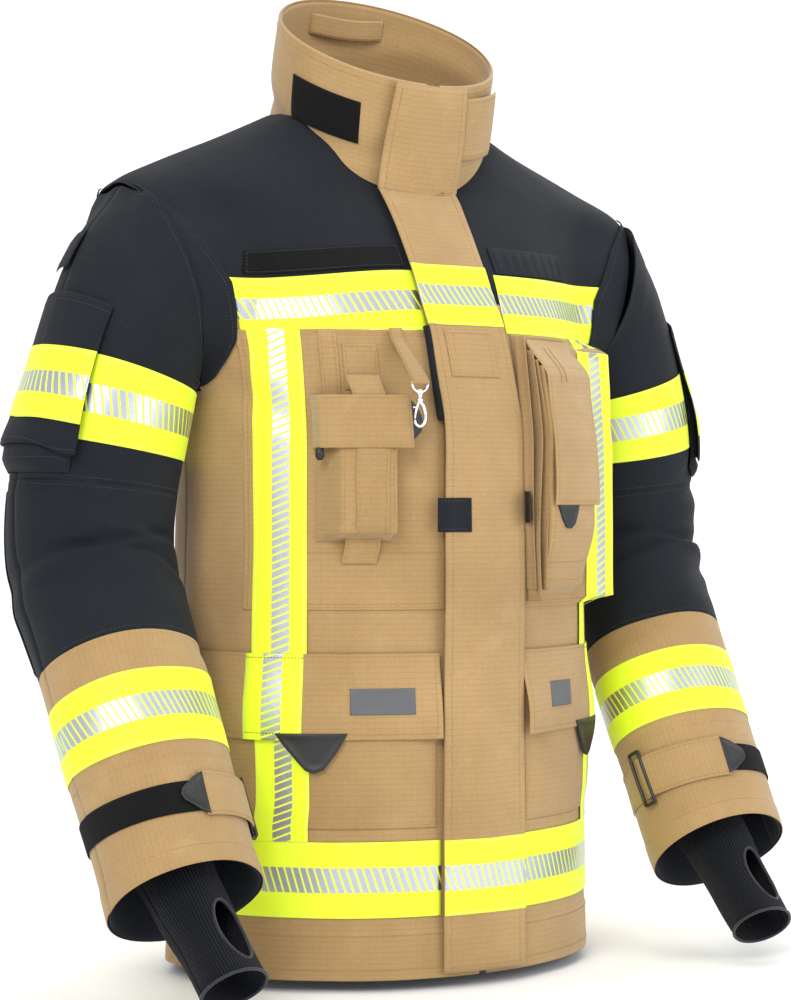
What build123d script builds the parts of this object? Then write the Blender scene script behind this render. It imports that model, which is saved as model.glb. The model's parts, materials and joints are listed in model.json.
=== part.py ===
"""Firefighter's turnout coat, as a hollow standing garment, in millimetres.

+Z is up, the wearer faces -Y, and the wearer's left arm is at +X. The origin is the middle of the hem
opening. Cloth lies in layers on the torso, the upper arms and the forearms. Each of those three has a
function that gives its filled shape moved out by an offset, so a layer is one such shape less another,
cut to an outline.
"""
from build123d import *
from math import cos, radians, sin
import os

# ---------------------------------------------------------------- driving dimensions
CLOTH = 1.4             # one layer of outer cloth, with its seam allowance
GAP = 0.4               # between two layers
SHELL = 1.6             # outer shell of body and sleeves
LINER = 2.0             # quilted liner
SEAM_SIDE_Y = 20        # side seams and shoulder ridge

# (height, half width, centre Y, half depth, share of an offset that lifts the section)
TORSO = [
    (0, 232, 0, 187, 0), (250, 227, 0, 187, 0), (540, 228, 0, 187, 0), (640, 232, 5, 172, 0),
    (700, 240, 12, 153, 0.1), (760, 266, 18, 120, 0.4), (800, 304, 17, 88, 0.8),
    (826, 242, 24, 82, 1), (850, 182, 29, 80, 1), (888, 100, 28, 82, 1),
]
FRONT_Y = -187          # the centre front is plumb from the hem up to the chest
YOKE_SEAM_Z = 676
SHOULDER = (262, 8, 700)
SHOULDER_BALL = 105
SLEEVE_MOUTH_X = 195
SLEEVE_HINGE_X = 373.7

# (height, centre X, centre Y, half width, half depth) of the left upper arm
UPPER_ARM = [(692, 284, 9, 79, 88), (600, 312, 12, 79, 88), (475, 334, 17, 84, 84), (325, 334, 17, 84, 84)]
ELBOW = Vector(334, 17, 415)
ELBOW_BALL = 81
CUFF = Vector(326, -163, 105)
FOREARM_DIR = (CUFF - ELBOW).normalized()
FOREARM_LENGTH = (CUFF - ELBOW).length
# (distance from the elbow, half width, half depth)
FOREARM = [(0, 78, 78), (115, 80, 75), (235, 79, 68), (FOREARM_LENGTH, 78, 61)]
FOREARM_SEAM = 115      # black cloth above it, tan below
WRIST_END = Vector(318, -245, 28)
WRIST_DIR = (WRIST_END - CUFF).normalized()
WRIST_LENGTH = (WRIST_END - CUFF).length
WRISTLET = [(-55, 45, 40), (0, 42, 37), (WRIST_LENGTH, 37, 31)]

# (centre, half width, half depth in plan, drop of the front below the middle)
COLLAR_BASE = (Vector(0, 15, 836), 118, 92, 49)
COLLAR_RIM = (Vector(0, -12, 960), 124, 88, 58)

CHEST_TAPE = (645, 707)
HEM_TAPE = (62, 137)
CHEST_PANEL_Z = (366, 642)
FLAP_X = (-47, 50)      # storm flap: free edge, sewn edge
FLAP_OFFSET = (5.4, 8.0)
FLAP_FOLD_Z = 510       # the flap opens below this height
POCKET_SEAM_Z = 318
POCKET_FLAP_Z = (240, 304)
FLAP_STANDS = (7.3, 8.7)
ARM_TAPE_Z = (528, 603)
FOREARM_TAPE = (155, 230)
CUFF_BAND = (268, 300)
CUFF_TAB = (262, 306)
SLEEVE_POCKET_Z = (503, 664)
SLEEVE_FLAP_Z = (530, 670)
SLEEVE_POCKET_HALF = 60
SLEEVE_POCKET_OFFSET = (1.0, 17)
ZIP_HALF_GAP = 4


def level(number):
    """Inner and outer offset of the cloth layer with this number, 1 being next to the shell."""
    inner = GAP + (number - 1) * (CLOTH + GAP)
    return inner, inner + CLOTH


# ---------------------------------------------------------------- filled shapes
def torso(offset):
    with BuildPart() as body:
        for height, half_width, centre_y, half_depth, lift in TORSO:
            with BuildSketch(Plane.XY.offset(height + lift * offset)):
                with Locations((0, centre_y)):
                    Ellipse(half_width + offset, half_depth + offset)
        loft(ruled=True)
    return body.part


def upper_arm(offset):
    with BuildPart() as body:
        for height, x, y, half_width, half_depth in reversed(UPPER_ARM):
            with BuildSketch(Plane.XY.offset(height)):
                with Locations((x, y)):
                    Ellipse(half_width + offset, half_depth + offset)
        loft(ruled=True)
    return body.part


def along(start, direction, sections, offset):
    """A filled tube through ellipses square to a straight axis."""
    with BuildPart() as body:
        for distance, half_width, half_depth in sections:
            plane = Plane(origin=start + direction * distance, x_dir=(1, 0, 0), z_dir=direction)
            with BuildSketch(plane):
                Ellipse(half_width + offset, half_depth + offset)
        loft(ruled=True)
    return body.part


def forearm(offset):
    return along(ELBOW, FOREARM_DIR, FOREARM, offset)


def collar(offset, drop=0, rise=0):
    """The filled collar. drop and rise carry it on past its base and its rim."""
    def ring(centre, half_width, half_depth, fall):
        tilt = Vector(0, half_depth, fall)
        plane = Plane(origin=centre, x_dir=(1, 0, 0), z_dir=Vector(1, 0, 0).cross(tilt))
        with BuildSketch(plane) as face:
            Ellipse(half_width + offset, tilt.length + offset)
        return face.sketch
    (base, base_x, base_y, base_fall), (rim, rim_x, rim_y, rim_fall) = COLLAR_BASE, COLLAR_RIM
    lower = ring(base - (rim - base) * (drop / 100), base_x, base_y, base_fall)
    upper = ring(rim + (rim - base) * (rise / 100), rim_x, rim_y, rim_fall)
    with BuildPart() as body:
        add([lower, upper])
        loft(ruled=True)
    return body.part


def block(x, y, z):
    with BuildPart() as body:
        with Locations(((x[0] + x[1]) / 2, (y[0] + y[1]) / 2, (z[0] + z[1]) / 2)):
            Box(x[1] - x[0], y[1] - y[0], z[1] - z[0])
    return body.part


def ball(centre, radius):
    with BuildPart() as body:
        with Locations(centre):
            Sphere(radius)
    return body.part


def band(start, direction, reach, low, high):
    """A thick disc square to an axis, from low to high along it."""
    with BuildPart() as body:
        with BuildSketch(Plane(origin=start + direction * low, x_dir=(1, 0, 0), z_dir=direction)):
            Circle(reach)
        extrude(amount=high - low)
    return body.part


# ---------------------------------------------------------------- cutting and keeping
def made(start, keep=(), cut=(), join=()):
    """A solid: start, with join added, then only what lies in keep, less cut."""
    with BuildPart() as body:
        add(start)
        for other in join:
            add(other)
        for other in keep:
            add(other, mode=Mode.INTERSECT)
        for other in cut:
            add(other, mode=Mode.SUBTRACT)
    return body.part


shapes = {}


def cached(function, offset):
    """One filled shape per offset, because many layers share them."""
    key = (function.__name__, round(offset, 3))
    if key not in shapes:
        shapes[key] = function(offset)
    return shapes[key]


def front_prism(outline, back_y=0):
    """A prism of an outline in X and Z, from back_y forwards."""
    with BuildPart() as body:
        with BuildSketch(Plane.XZ.offset(-back_y)):
            with BuildLine():
                Polyline(*outline, close=True)
            make_face()
        extrude(amount=300)
    return body.part


def rectangle(x, z):
    return [(x[0], z[0]), (x[1], z[0]), (x[1], z[1]), (x[0], z[1])]


def front_layer(outline, inner, outer, back_y=0):
    """Cloth on the front of the torso between two offsets, cut to an outline in X and Z."""
    return made(front_prism(outline, back_y), keep=[cached(torso, outer)], cut=[cached(torso, inner)])


def ring_layer(z, inner, outer, keep=(), cut=()):
    """Cloth all round the torso between two heights."""
    slab = block((-500, 500), (-400, 400), z)
    return made(slab, keep=[cached(torso, outer), *keep], cut=[cached(torso, inner), *cut])


def pouch(outline, wall, inner, outer, layer):
    """A hollow pouch that is open at its top, between two offsets."""
    (x0, z0), (x1, z1) = outline[0], outline[2]
    hollow = rectangle((x0 + wall, x1 - wall), (z0 + wall, z1 + 50))
    return made(layer(outline, inner, outer), cut=[layer(hollow, inner + wall, outer - wall)])


def save(name, *solids):
    """Writes one node. Several solids in a node stay separate."""
    whole = solids[0] if len(solids) == 1 else Compound(children=list(solids))
    whole.label = name
    export_step(whole, f"parts/{name}.step")


def mirrored(solid):
    return mirror(solid, about=Plane.YZ, mode=Mode.PRIVATE)


def save_pair(name, solid_left):
    """Writes the left and right of a node that is the same on both arms."""
    save(f"{name}_left", solid_left)
    save(f"{name}_right", mirrored(solid_left))


os.makedirs("parts", exist_ok=True)

# ---------------------------------------------------------------- body shell, yoke and liner
ball_room = [ball((side * SHOULDER[0], *SHOULDER[1:]), SHOULDER_BALL + 0.8) for side in (-1, 1)]
with BuildPart() as neck:
    with BuildSketch(Plane.XY.offset(700)):
        with Locations((0, COLLAR_BASE[0].Y)):
            Ellipse(COLLAR_BASE[1] - 4.6, COLLAR_BASE[2] - 4.6)
    extrude(amount=300)
neck_room = neck.part
zip_slot = block((-ZIP_HALF_GAP, ZIP_HALF_GAP), (-300, 0), (-10, 900))
shell_cut = [cached(torso, -SHELL), *ball_room, neck_room]

lower = (-5, YOKE_SEAM_Z - GAP / 2)
upper = (YOKE_SEAM_Z + GAP / 2, 900)
front, back = (-400, SEAM_SIDE_Y - GAP / 2), (SEAM_SIDE_Y + GAP / 2, 400)
left, both = (ZIP_HALF_GAP, 500), (-500, 500)


def shell(x, y, z):
    return made(block(x, y, z), keep=[cached(torso, 0)], cut=shell_cut)


for name, z in (("front_panels", lower), ("yoke_fronts", upper)):
    half = shell(left, front, z)
    save(name, half, mirrored(half))
save("back_panel", shell(both, back, lower))
save("yoke_back", shell(both, back, upper))

liner_outer, liner_inner = -SHELL - 3.0, -SHELL - 3.0 - LINER
liner_slot = block((-24, 24), (-300, 0), (-10, 900))
save("thermal_liner", ring_layer((40, 690), liner_inner, liner_outer, cut=[*ball_room, liner_slot]))

# ---------------------------------------------------------------- collar
torso_room = cached(torso, 0.5)
collar_shell = made(collar(0), cut=[collar(-2.2, drop=5, rise=5), torso_room, zip_slot, *ball_room])
save("collar_shell", collar_shell)
lining_room = cached(torso, 0.5)
collar_lining = made(collar(-2.6), cut=[collar(-4.2, drop=5, rise=5), lining_room, zip_slot])
save("collar_lining", collar_lining)

LOOP_HALF, LOOP_TALL, LOOP_CLOTH, LOOP_SLACK = 46, 22, 1.6, 11
LOOP_PLACE = Location((0, 66.5, 990), (13, 0, 0))
with BuildPart() as hanger_loop:
    with Locations(LOOP_PLACE):
        Box(2 * LOOP_HALF, LOOP_CLOTH, LOOP_TALL)
        with Locations((0, (LOOP_CLOTH + LOOP_SLACK) / 2, 0)):
            with GridLocations(2 * LOOP_HALF - 8, 1, 2, 1):
                Box(8, LOOP_SLACK, LOOP_TALL)
loop_trim = made(hanger_loop.part, keep=[collar(-4.5, drop=5, rise=5)])
save("hanger_loop", loop_trim)

hook_patch_prism = front_prism([(-112, 818), (-66, 812), (-66, 858), (-112, 868)])
collar_patch = made(hook_patch_prism, keep=[collar(1.8)], cut=[collar(0.4, drop=5, rise=5), torso_room])
name_strip = made(front_layer(rectangle((-202, -66), (710, 734)), 0.4, 2.2), cut=ball_room)
mic_strip = made(front_layer(rectangle((56, 170), (711, 737)), 0.4, 2.2), cut=ball_room)
save("hook_strips", collar_patch, name_strip, mic_strip)

# ---------------------------------------------------------------- storm flap and front closure
flap_low = front_layer(rectangle(FLAP_X, (6, FLAP_FOLD_Z - GAP)), *FLAP_OFFSET)
flap_mid = front_layer(rectangle(FLAP_X, (FLAP_FOLD_Z, 790)), *FLAP_OFFSET)
collar_front = front_prism(rectangle((FLAP_X[0] + 6, FLAP_X[1] - 6), (788, 912)))
flap_top = made(collar_front, keep=[collar(8.0, rise=2)], cut=[collar(5.4, drop=5, rise=5), cached(torso, 8.0)])
flap_patch = front_layer(rectangle((-31, 29), (597, 642)), 8.0, 9.4)
save("storm_flap_lower", flap_low)
save("storm_flap_upper", made(flap_mid, join=[flap_patch]), flap_top)
save("flap_piping", front_layer(rectangle((FLAP_X[0] - 6, FLAP_X[0] - 0.4), (553, 645)), 5.0, 9.0))
save("flap_pull_tab", front_layer(rectangle((FLAP_X[0] - 3, -14), (443, 476)), 8.4, 9.8))
save("hem_tape_flap", front_layer(rectangle((FLAP_X[0] + 1, FLAP_X[1] - 1), HEM_TAPE), 8.4, 9.4))

TOOTH_PITCH, TOOTH_TALL, ZIP_LOW, ZIP_HIGH = 10, 4.2, 14, 776


def zip_side(side, first):
    """One zip tape, with the teeth that stand out from its edge past the middle."""
    with BuildPart() as prism:
        with BuildSketch(Plane.XZ):
            with Locations((side * 9.5, (ZIP_LOW + ZIP_HIGH) / 2)):
                Rectangle(13, ZIP_HIGH - ZIP_LOW)
            count = int((ZIP_HIGH - ZIP_LOW - first) / TOOTH_PITCH)
            with Locations(*[(side * 1.1, ZIP_LOW + first + n * TOOTH_PITCH) for n in range(count)]):
                Rectangle(4.4, TOOTH_TALL)
        extrude(amount=300)
    return made(prism.part, keep=[cached(torso, -2.0)], cut=[cached(torso, -4.0)])


save("zip_chain", zip_side(-1, 5), zip_side(1, 10))

SLIDER_FRONT_Y = FRONT_Y - 0.4
with BuildPart() as lower_slider:
    with BuildSketch(Plane.XZ.offset(-SLIDER_FRONT_Y)):
        with Locations((0, 34)):
            Trapezoid(13, 18, 80)
    extrude(amount=1.6)
    with BuildSketch(Plane.XZ.offset(-SLIDER_FRONT_Y + 1.6)):
        with Locations((0, 60)):
            SlotOverall(46, 7, rotation=90)
    extrude(amount=1.2)
save("zip_slider_lower", lower_slider.part)

COLLAR_FRONT_LOW = COLLAR_BASE[0] - Vector(0, COLLAR_BASE[2], COLLAR_BASE[3])
COLLAR_FRONT_HIGH = COLLAR_RIM[0] - Vector(0, COLLAR_RIM[2], COLLAR_RIM[3])
COLLAR_FRONT = (COLLAR_FRONT_HIGH - COLLAR_FRONT_LOW).normalized()
slider_plane = Plane(
    origin=COLLAR_FRONT_HIGH - COLLAR_FRONT * 14,
    x_dir=(1, 0, 0), z_dir=Vector(1, 0, 0).cross(COLLAR_FRONT),
)
with BuildPart() as upper_slider:
    with BuildSketch(slider_plane.offset(0.8)):
        Trapezoid(13, 18, 80)
    extrude(amount=1.6)
    with BuildSketch(slider_plane.offset(2.4)):
        with Locations((0, -14)):
            SlotOverall(34, 7, rotation=90)
    extrude(amount=1.2)
save("zip_slider_upper", upper_slider.part)

throat_prism = front_prism([(50, 832), (88, 838), (88, 888), (50, 880)])
save("throat_tab", made(throat_prism, keep=[collar(6.6)], cut=[collar(3.0, drop=5, rise=5), torso_room]))

# ---------------------------------------------------------------- reflective tapes on the body
tape_slot = block(FLAP_X, (-300, 0), (-10, 900))
side_cut = [tape_slot, *ball_room]
save("chest_tape", ring_layer(CHEST_TAPE, *level(1), cut=side_cut))
save("hem_tape", ring_layer(HEM_TAPE, *level(1), cut=[tape_slot]))
TAPE_X, TAPE_LOW_Z, TAPE_HIGH_Z = (170, 207), (140, 236), (322, CHEST_PANEL_Z[1])
vertical = []
for low, high, layer_number in ((*TAPE_LOW_Z, 1), (*TAPE_HIGH_Z, 2)):
    strip = front_layer(rectangle(TAPE_X, (low, high)), *level(layer_number))
    vertical += [strip, mirrored(strip)]
save("vertical_tapes", *vertical)

# ---------------------------------------------------------------- chest panels, loops and pockets
panel_left = front_layer(rectangle((56, 211), CHEST_PANEL_Z), *level(1))
save("chest_panels", panel_left, mirrored(panel_left))

RADIO_X, RADIO_Z, RADIO_OFFSET = (-163, -97), (434, 560), (2.2, 26)
save("radio_pocket", pouch(rectangle(RADIO_X, RADIO_Z), SHELL, *RADIO_OFFSET, front_layer))
BAND_X, BAND_Z = (-173, -94), (528, 578)
band_front = front_layer(rectangle(BAND_X, BAND_Z), 27, 29)
band_side = front_layer(rectangle((BAND_X[0], BAND_X[0] + 2.5), BAND_Z), 6.2, 29)
save("radio_band", made(band_front, join=[band_side]))

HOOK_X, HOOK_Y, RING_Z = -86, -204, 590
with BuildPart() as hanging_strap:
    with BuildSketch(Plane.YZ.offset(HOOK_X - 11)):
        with BuildLine():
            Polyline((-158.6, 641), (-160.6, 641), (HOOK_Y - 1, RING_Z + 2), (HOOK_Y + 1, RING_Z + 2), close=True)
        make_face()
    extrude(amount=22)
straps = [
    front_layer(rectangle((-156, -140), (582, 642)), *level(2)),
    front_layer(rectangle((-136, -108), (584, 630)), *level(2)),
    front_layer(rectangle((-143, -112), (412, 432)), *level(2)),
    front_layer(rectangle((-143, -112), (436, 526)), 26.4, 27.8),
]
save("chest_straps", *straps, hanging_strap.part)

SHOULDER_LOOP_X = (176, 246)
shoulder_strap = made(block(SHOULDER_LOOP_X, (-40, 2), (760, 880)),
                      keep=[cached(torso, 3.6)], cut=[cached(torso, 2.2), *ball_room])
save("shoulder_loops", shoulder_strap, mirrored(shoulder_strap))

CHEST_POCKET_X, CHEST_POCKET_Z, CHEST_POCKET_OFFSET = (64, 146), (390, 588), (2.2, 32)
save("chest_pocket_left",
     pouch(rectangle(CHEST_POCKET_X, CHEST_POCKET_Z), SHELL, *CHEST_POCKET_OFFSET, front_layer))
lid_front = front_layer(rectangle((62, 148), (470, 606)), 33, 34.6)
lid_top = front_layer(rectangle((62, 148), (603, 606)), 5, 34.6)
save("chest_flap_left", made(lid_front, join=[lid_top]))
save("chest_grip_left", front_layer([(112, 469.6), (146, 469.6), (138, 444), (126, 444)], 33, 34.6))

POCKET_X = (54, 224)
bag_left = front_layer(rectangle(POCKET_X, (150, POCKET_SEAM_Z)), *level(1), back_y=10)
tape_room = front_prism(rectangle((TAPE_X[0] - 1, TAPE_X[1] + 1), (TAPE_LOW_Z[0] - 1, TAPE_LOW_Z[1] + 1)), 10)
bag_left = made(bag_left, cut=[tape_room])
save("lower_pockets", bag_left, mirrored(bag_left))
flap_outline = rectangle((POCKET_X[0] + 4, POCKET_X[1] + 12), POCKET_FLAP_Z)
flap_left = front_layer(flap_outline, *FLAP_STANDS, back_y=6)
save_pair("pocket_flap", flap_left)
GRIP_TOP_Z, GRIP_TIP_Z = POCKET_FLAP_Z[0] - 0.4, 206
grip_left = front_layer([(136, GRIP_TOP_Z), (186, GRIP_TOP_Z), (168, GRIP_TIP_Z), (156, GRIP_TIP_Z)], *FLAP_STANDS)
save_pair("pocket_grip", grip_left)

# ---------------------------------------------------------------- snap hook on its strap
RING_R, RING_WIRE = 9.5, 1.2
with BuildPart() as d_ring:
    with BuildSketch(Plane.XZ.offset(-HOOK_Y - RING_WIRE)):
        with Locations((HOOK_X, RING_Z)):
            Circle(RING_R + RING_WIRE)
            Circle(RING_R - RING_WIRE, mode=Mode.SUBTRACT)
            Rectangle(40, 20, align=(Align.CENTER, Align.MIN), mode=Mode.SUBTRACT)
            Rectangle(2 * (RING_R + RING_WIRE), 2 * RING_WIRE)
    extrude(amount=2 * RING_WIRE)
save("d_ring", d_ring.part)

SWIVEL_Z = RING_Z - RING_R - RING_WIRE - 2.2
hook_plane = Plane.XZ.offset(-HOOK_Y)
with BuildPart() as snap_hook:
    with Locations((HOOK_X, HOOK_Y, SWIVEL_Z)):
        Cylinder(3, 3.6)
    with BuildLine(hook_plane) as hook_line:
        Spline((HOOK_X, SWIVEL_Z - 1), (HOOK_X + 4, SWIVEL_Z - 8), (HOOK_X + 6.4, SWIVEL_Z - 20),
               (HOOK_X, SWIVEL_Z - 29), (HOOK_X - 6.4, SWIVEL_Z - 22))
    with BuildSketch(Plane(origin=hook_line.line @ 0, z_dir=hook_line.line % 0)):
        Circle(1.3)
    sweep(path=hook_line.line)
save("snap_hook", snap_hook.part)
with BuildPart() as hook_gate:
    with BuildLine(hook_plane) as gate_line:
        Line((HOOK_X - 2.4, SWIVEL_Z - 4.4), (HOOK_X - 6.4, SWIVEL_Z - 19.4))
    with BuildSketch(Plane(origin=gate_line.line @ 0, z_dir=gate_line.line % 0)):
        Circle(1.0)
    sweep(path=gate_line.line)
save("hook_gate", hook_gate.part)

# ---------------------------------------------------------------- upper sleeves
mouth = block((SLEEVE_MOUTH_X, 600), (-300, 300), (0, 1000))
with BuildPart() as above_elbow:
    with BuildSketch(Plane.YZ):
        with BuildLine():
            Polyline((ELBOW.Y, ELBOW.Z), (ELBOW.Y + 200, ELBOW.Z - 30), (ELBOW.Y + 200, 900),
                     (ELBOW.Y - 250, 900), (ELBOW.Y - 250, ELBOW.Z + 195), close=True)
        make_face()
    extrude(amount=600)


def upper_arm_part(offset):
    """Upper arm with its round shoulder head, filled."""
    return made(cached(upper_arm, offset), join=[ball(SHOULDER, SHOULDER_BALL + offset)])


def side_prism(outline, outer_x=600):
    """A prism of an outline in Y and Z, over the outer half of the left arm."""
    with BuildPart() as body:
        with BuildSketch(Plane.YZ.offset(SHOULDER[0] + 60)):
            with BuildLine():
                Polyline(*outline, close=True)
            make_face()
        extrude(amount=outer_x)
    return body.part


def arm_layer(outline, inner, outer):
    return made(side_prism(outline), keep=[cached(upper_arm, outer)], cut=[cached(upper_arm, inner)])


sleeve_whole = made(upper_arm_part(0), keep=[mouth, above_elbow.part])
save_pair("upper_sleeve", made(sleeve_whole, cut=[upper_arm_part(-SHELL)]))
arm_slab = block((230.4, 600), (-300, 300), ARM_TAPE_Z)
pocket_span = (UPPER_ARM[1][2] - SLEEVE_POCKET_HALF, UPPER_ARM[1][2] + SLEEVE_POCKET_HALF)
pocket_room = side_prism(rectangle((pocket_span[0] - 1, pocket_span[1] + 1), (SLEEVE_POCKET_Z[0] - 1, 700)))
arm_tape = made(arm_slab, keep=[cached(upper_arm, level(1)[1])],
                cut=[cached(upper_arm, level(1)[0]), pocket_room, ball(SHOULDER, SHOULDER_BALL + 0.4)])
save_pair("arm_tape", arm_tape)
save_pair("sleeve_pocket", pouch(rectangle(pocket_span, SLEEVE_POCKET_Z), SHELL, *SLEEVE_POCKET_OFFSET, arm_layer))
lid_span = (pocket_span[0] - 2, pocket_span[1] + 2)
lid_inner, lid_outer = SLEEVE_POCKET_OFFSET[1] + 1, SLEEVE_POCKET_OFFSET[1] + 2.6
lid_ledge = arm_layer(rectangle(lid_span, (SLEEVE_FLAP_Z[1] - 3, SLEEVE_FLAP_Z[1])), 3, lid_outer)
lid_ledge = made(lid_ledge, keep=[block((SLEEVE_HINGE_X, 600), (-300, 300), (0, 900))])
save_pair("sleeve_flap", made(arm_layer(rectangle(lid_span, SLEEVE_FLAP_Z), lid_inner, lid_outer), join=[lid_ledge]))

# ---------------------------------------------------------------- forearms, cuffs and wristlets
ball_top = block((100, 600), (-300, 300), (ELBOW.Z + 56, 700))
elbow_head = ball(ELBOW, ELBOW_BALL)
sleeve_reach = band(ELBOW, FOREARM_DIR, 200, -200, FOREARM_SEAM)
forearm_outer = made(cached(forearm, 0), join=[elbow_head], keep=[sleeve_reach], cut=[ball_top])
forearm_inner = made(cached(forearm, -SHELL), join=[ball(ELBOW, ELBOW_BALL - SHELL)])
save_pair("forearm_sleeve", made(forearm_outer, cut=[forearm_inner]))
cuff_reach = band(ELBOW, FOREARM_DIR, 200, FOREARM_SEAM + GAP, FOREARM_LENGTH)
save_pair("cuff_sleeve", made(cached(forearm, 0), keep=[cuff_reach], cut=[cached(forearm, -SHELL)]))


def forearm_ring(span, inner, outer):
    reach = band(ELBOW, FOREARM_DIR, 200, *span)
    return made(cached(forearm, outer), keep=[reach], cut=[cached(forearm, inner)])


tape_join = block((330.5, 331.5), (-95, 200), (0, 500))
save_pair("forearm_tape", made(forearm_ring(FOREARM_TAPE, *level(1)), cut=[tape_join]))
outer_half = block((FOREARM[0][1] + 186, 600), (-400, 200), (0, 500))
save_pair("cuff_band", made(forearm_ring(CUFF_BAND, *level(1)), keep=[outer_half]))
CUFF_MIDDLE = ELBOW + FOREARM_DIR * ((CUFF_TAB[0] + CUFF_TAB[1]) / 2)
tab_plane = Plane(origin=CUFF_MIDDLE, x_dir=FOREARM_DIR, z_dir=(1, 0, 0))
with BuildPart() as tab_room:
    with BuildSketch(tab_plane.offset(-130)):
        Rectangle(200, 150, align=(Align.CENTER, Align.MAX))
    extrude(amount=116)
cuff_tab = made(forearm_ring(CUFF_TAB, *level(2)), keep=[tab_room.part])
save_pair("cuff_tab", cuff_tab)

loop_plane = tab_plane.offset(-86)
with BuildPart() as cuff_loop:
    with BuildSketch(loop_plane):
        with Locations((0, 7.6)):
            RectangleRounded(56, 12, 3)
    extrude(amount=2.4)
save_pair("cuff_loop", cuff_loop.part)

wristlet_outer = along(CUFF, WRIST_DIR, WRISTLET, 0)
thumb_plane = Plane(origin=CUFF + WRIST_DIR * 62, x_dir=(1, 0, 0), z_dir=(0, -1, 0))
with BuildPart() as thumb_hole:
    with BuildSketch(thumb_plane):
        with Locations((0, 0)):
            SlotOverall(58, 26, rotation=90)
    extrude(amount=120)
save_pair("wristlet", made(wristlet_outer, cut=[along(CUFF, WRIST_DIR, WRISTLET, -LINER), thumb_hole.part]))
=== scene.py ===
"""Firefighter's turnout coat: fabric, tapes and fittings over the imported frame. Shapes are in millimetres."""
import bpy
import bmesh
import json
import math
import numpy as np
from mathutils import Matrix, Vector


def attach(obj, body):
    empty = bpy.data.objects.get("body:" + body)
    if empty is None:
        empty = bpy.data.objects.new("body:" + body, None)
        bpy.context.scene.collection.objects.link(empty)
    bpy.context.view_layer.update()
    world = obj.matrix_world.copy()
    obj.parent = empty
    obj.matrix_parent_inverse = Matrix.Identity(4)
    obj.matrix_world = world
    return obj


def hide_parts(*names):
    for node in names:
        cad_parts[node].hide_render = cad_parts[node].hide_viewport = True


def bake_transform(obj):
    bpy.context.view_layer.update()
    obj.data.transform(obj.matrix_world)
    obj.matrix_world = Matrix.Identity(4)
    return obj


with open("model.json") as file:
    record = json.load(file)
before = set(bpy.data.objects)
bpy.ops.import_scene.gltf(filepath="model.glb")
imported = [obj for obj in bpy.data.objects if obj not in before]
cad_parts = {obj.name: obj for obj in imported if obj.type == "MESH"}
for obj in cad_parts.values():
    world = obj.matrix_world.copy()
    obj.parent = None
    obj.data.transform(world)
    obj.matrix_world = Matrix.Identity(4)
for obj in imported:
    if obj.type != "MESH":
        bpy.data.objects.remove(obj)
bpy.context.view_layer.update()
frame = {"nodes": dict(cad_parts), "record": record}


def arr(*v):
    return np.array(v, float)


def unit(v):
    return v / np.maximum(np.linalg.norm(v, axis=-1, keepdims=True), 1e-9)


def smooth(x, lo=0.0, hi=1.0):
    t = np.clip((x - lo) / (hi - lo), 0, 1)
    return t * t * (3 - 2 * t)


def waves(u, v, seed, amp, low, high, n=9):
    """Soft undulation: a fixed sum of sines, with wavelengths from low to high."""
    r = np.random.default_rng(seed)
    out = np.zeros(np.broadcast(u, v).shape)
    for _ in range(n):
        k = 2 * math.pi / r.uniform(low, high)
        a = r.uniform(0, math.pi)
        out = out + np.sin(k * (u * math.cos(a) + v * math.sin(a)) + r.uniform(0, 6.28))
    return amp * out / math.sqrt(n)


# ------------------------------------------------------------------ joints and the frame's places
joint = {j["name"]: j for j in frame["record"]["behaviour"]["joints"]}


def at(name):
    return arr(*joint[name]["pos_m"]) * 1000


SHOULDER, ELBOW = at("shoulder_left"), at("elbow_left")

# ------------------------------------------------------------------ torso surface
ROWS = np.array([
    (-20, 233, 0, 188), (0, 232, 0, 188), (250, 227, 0, 187), (540, 228, 0, 186), (640, 232, 5, 172),
    (700, 240, 12, 153), (760, 266, 18, 120), (796, 304, 17, 90), (826, 244, 24, 82), (850, 184, 29, 80),
    (888, 100, 28, 82), (930, 20, 26, 60)], float)
Z_FINE = np.arange(-20, 930.1, 2.0)
_k = np.exp(-0.5 * (np.arange(-12, 13) / 4.2) ** 2)
_k /= _k.sum()
ROW_FINE = [np.convolve(np.pad(np.interp(Z_FINE, ROWS[:, 0], ROWS[:, c]), 12, mode="edge"), _k, "valid")
            for c in (1, 2, 3)]


def section(z):
    return [np.interp(z, Z_FINE, r) for r in ROW_FINE]


NEAR_ONE = 0.9999                # keeps arcsin off its ends


def phi_of(x, z):
    """Angle round the torso of the front point at x."""
    return np.arcsin(np.clip(x / section(z)[0], -NEAR_ONE, NEAR_ONE))


ARM_EDGE, ARM_FOOT = arr(308, 0, 800), arr(232, 0, 585)   # armhole plane, seen from the front
ARM_NORMAL = unit(arr(ARM_EDGE[2] - ARM_FOOT[2], 0, ARM_FOOT[0] - ARM_EDGE[0]))


def past_armhole(p):
    return (np.abs(p[..., 0]) - ARM_EDGE[0]) * ARM_NORMAL[0] + (p[..., 2] - ARM_EDGE[2]) * ARM_NORMAL[2]


def torso_distance(p):
    a, yc, b = section(p[..., 2])
    a2, yc2, b2 = section(p[..., 2] + 2)
    x, y = p[..., 0], p[..., 1]
    q = np.sqrt((x / a) ** 2 + ((y - yc) / b) ** 2) + 1e-6
    q2 = np.sqrt((x / a2) ** 2 + ((y - yc2) / b2) ** 2) + 1e-6
    g = np.sqrt((x / (a * a * q)) ** 2 + ((y - yc) / (b * b * q)) ** 2 + ((q2 - q) / 2) ** 2)
    return (q - 1) / np.maximum(g, 1e-4)


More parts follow.
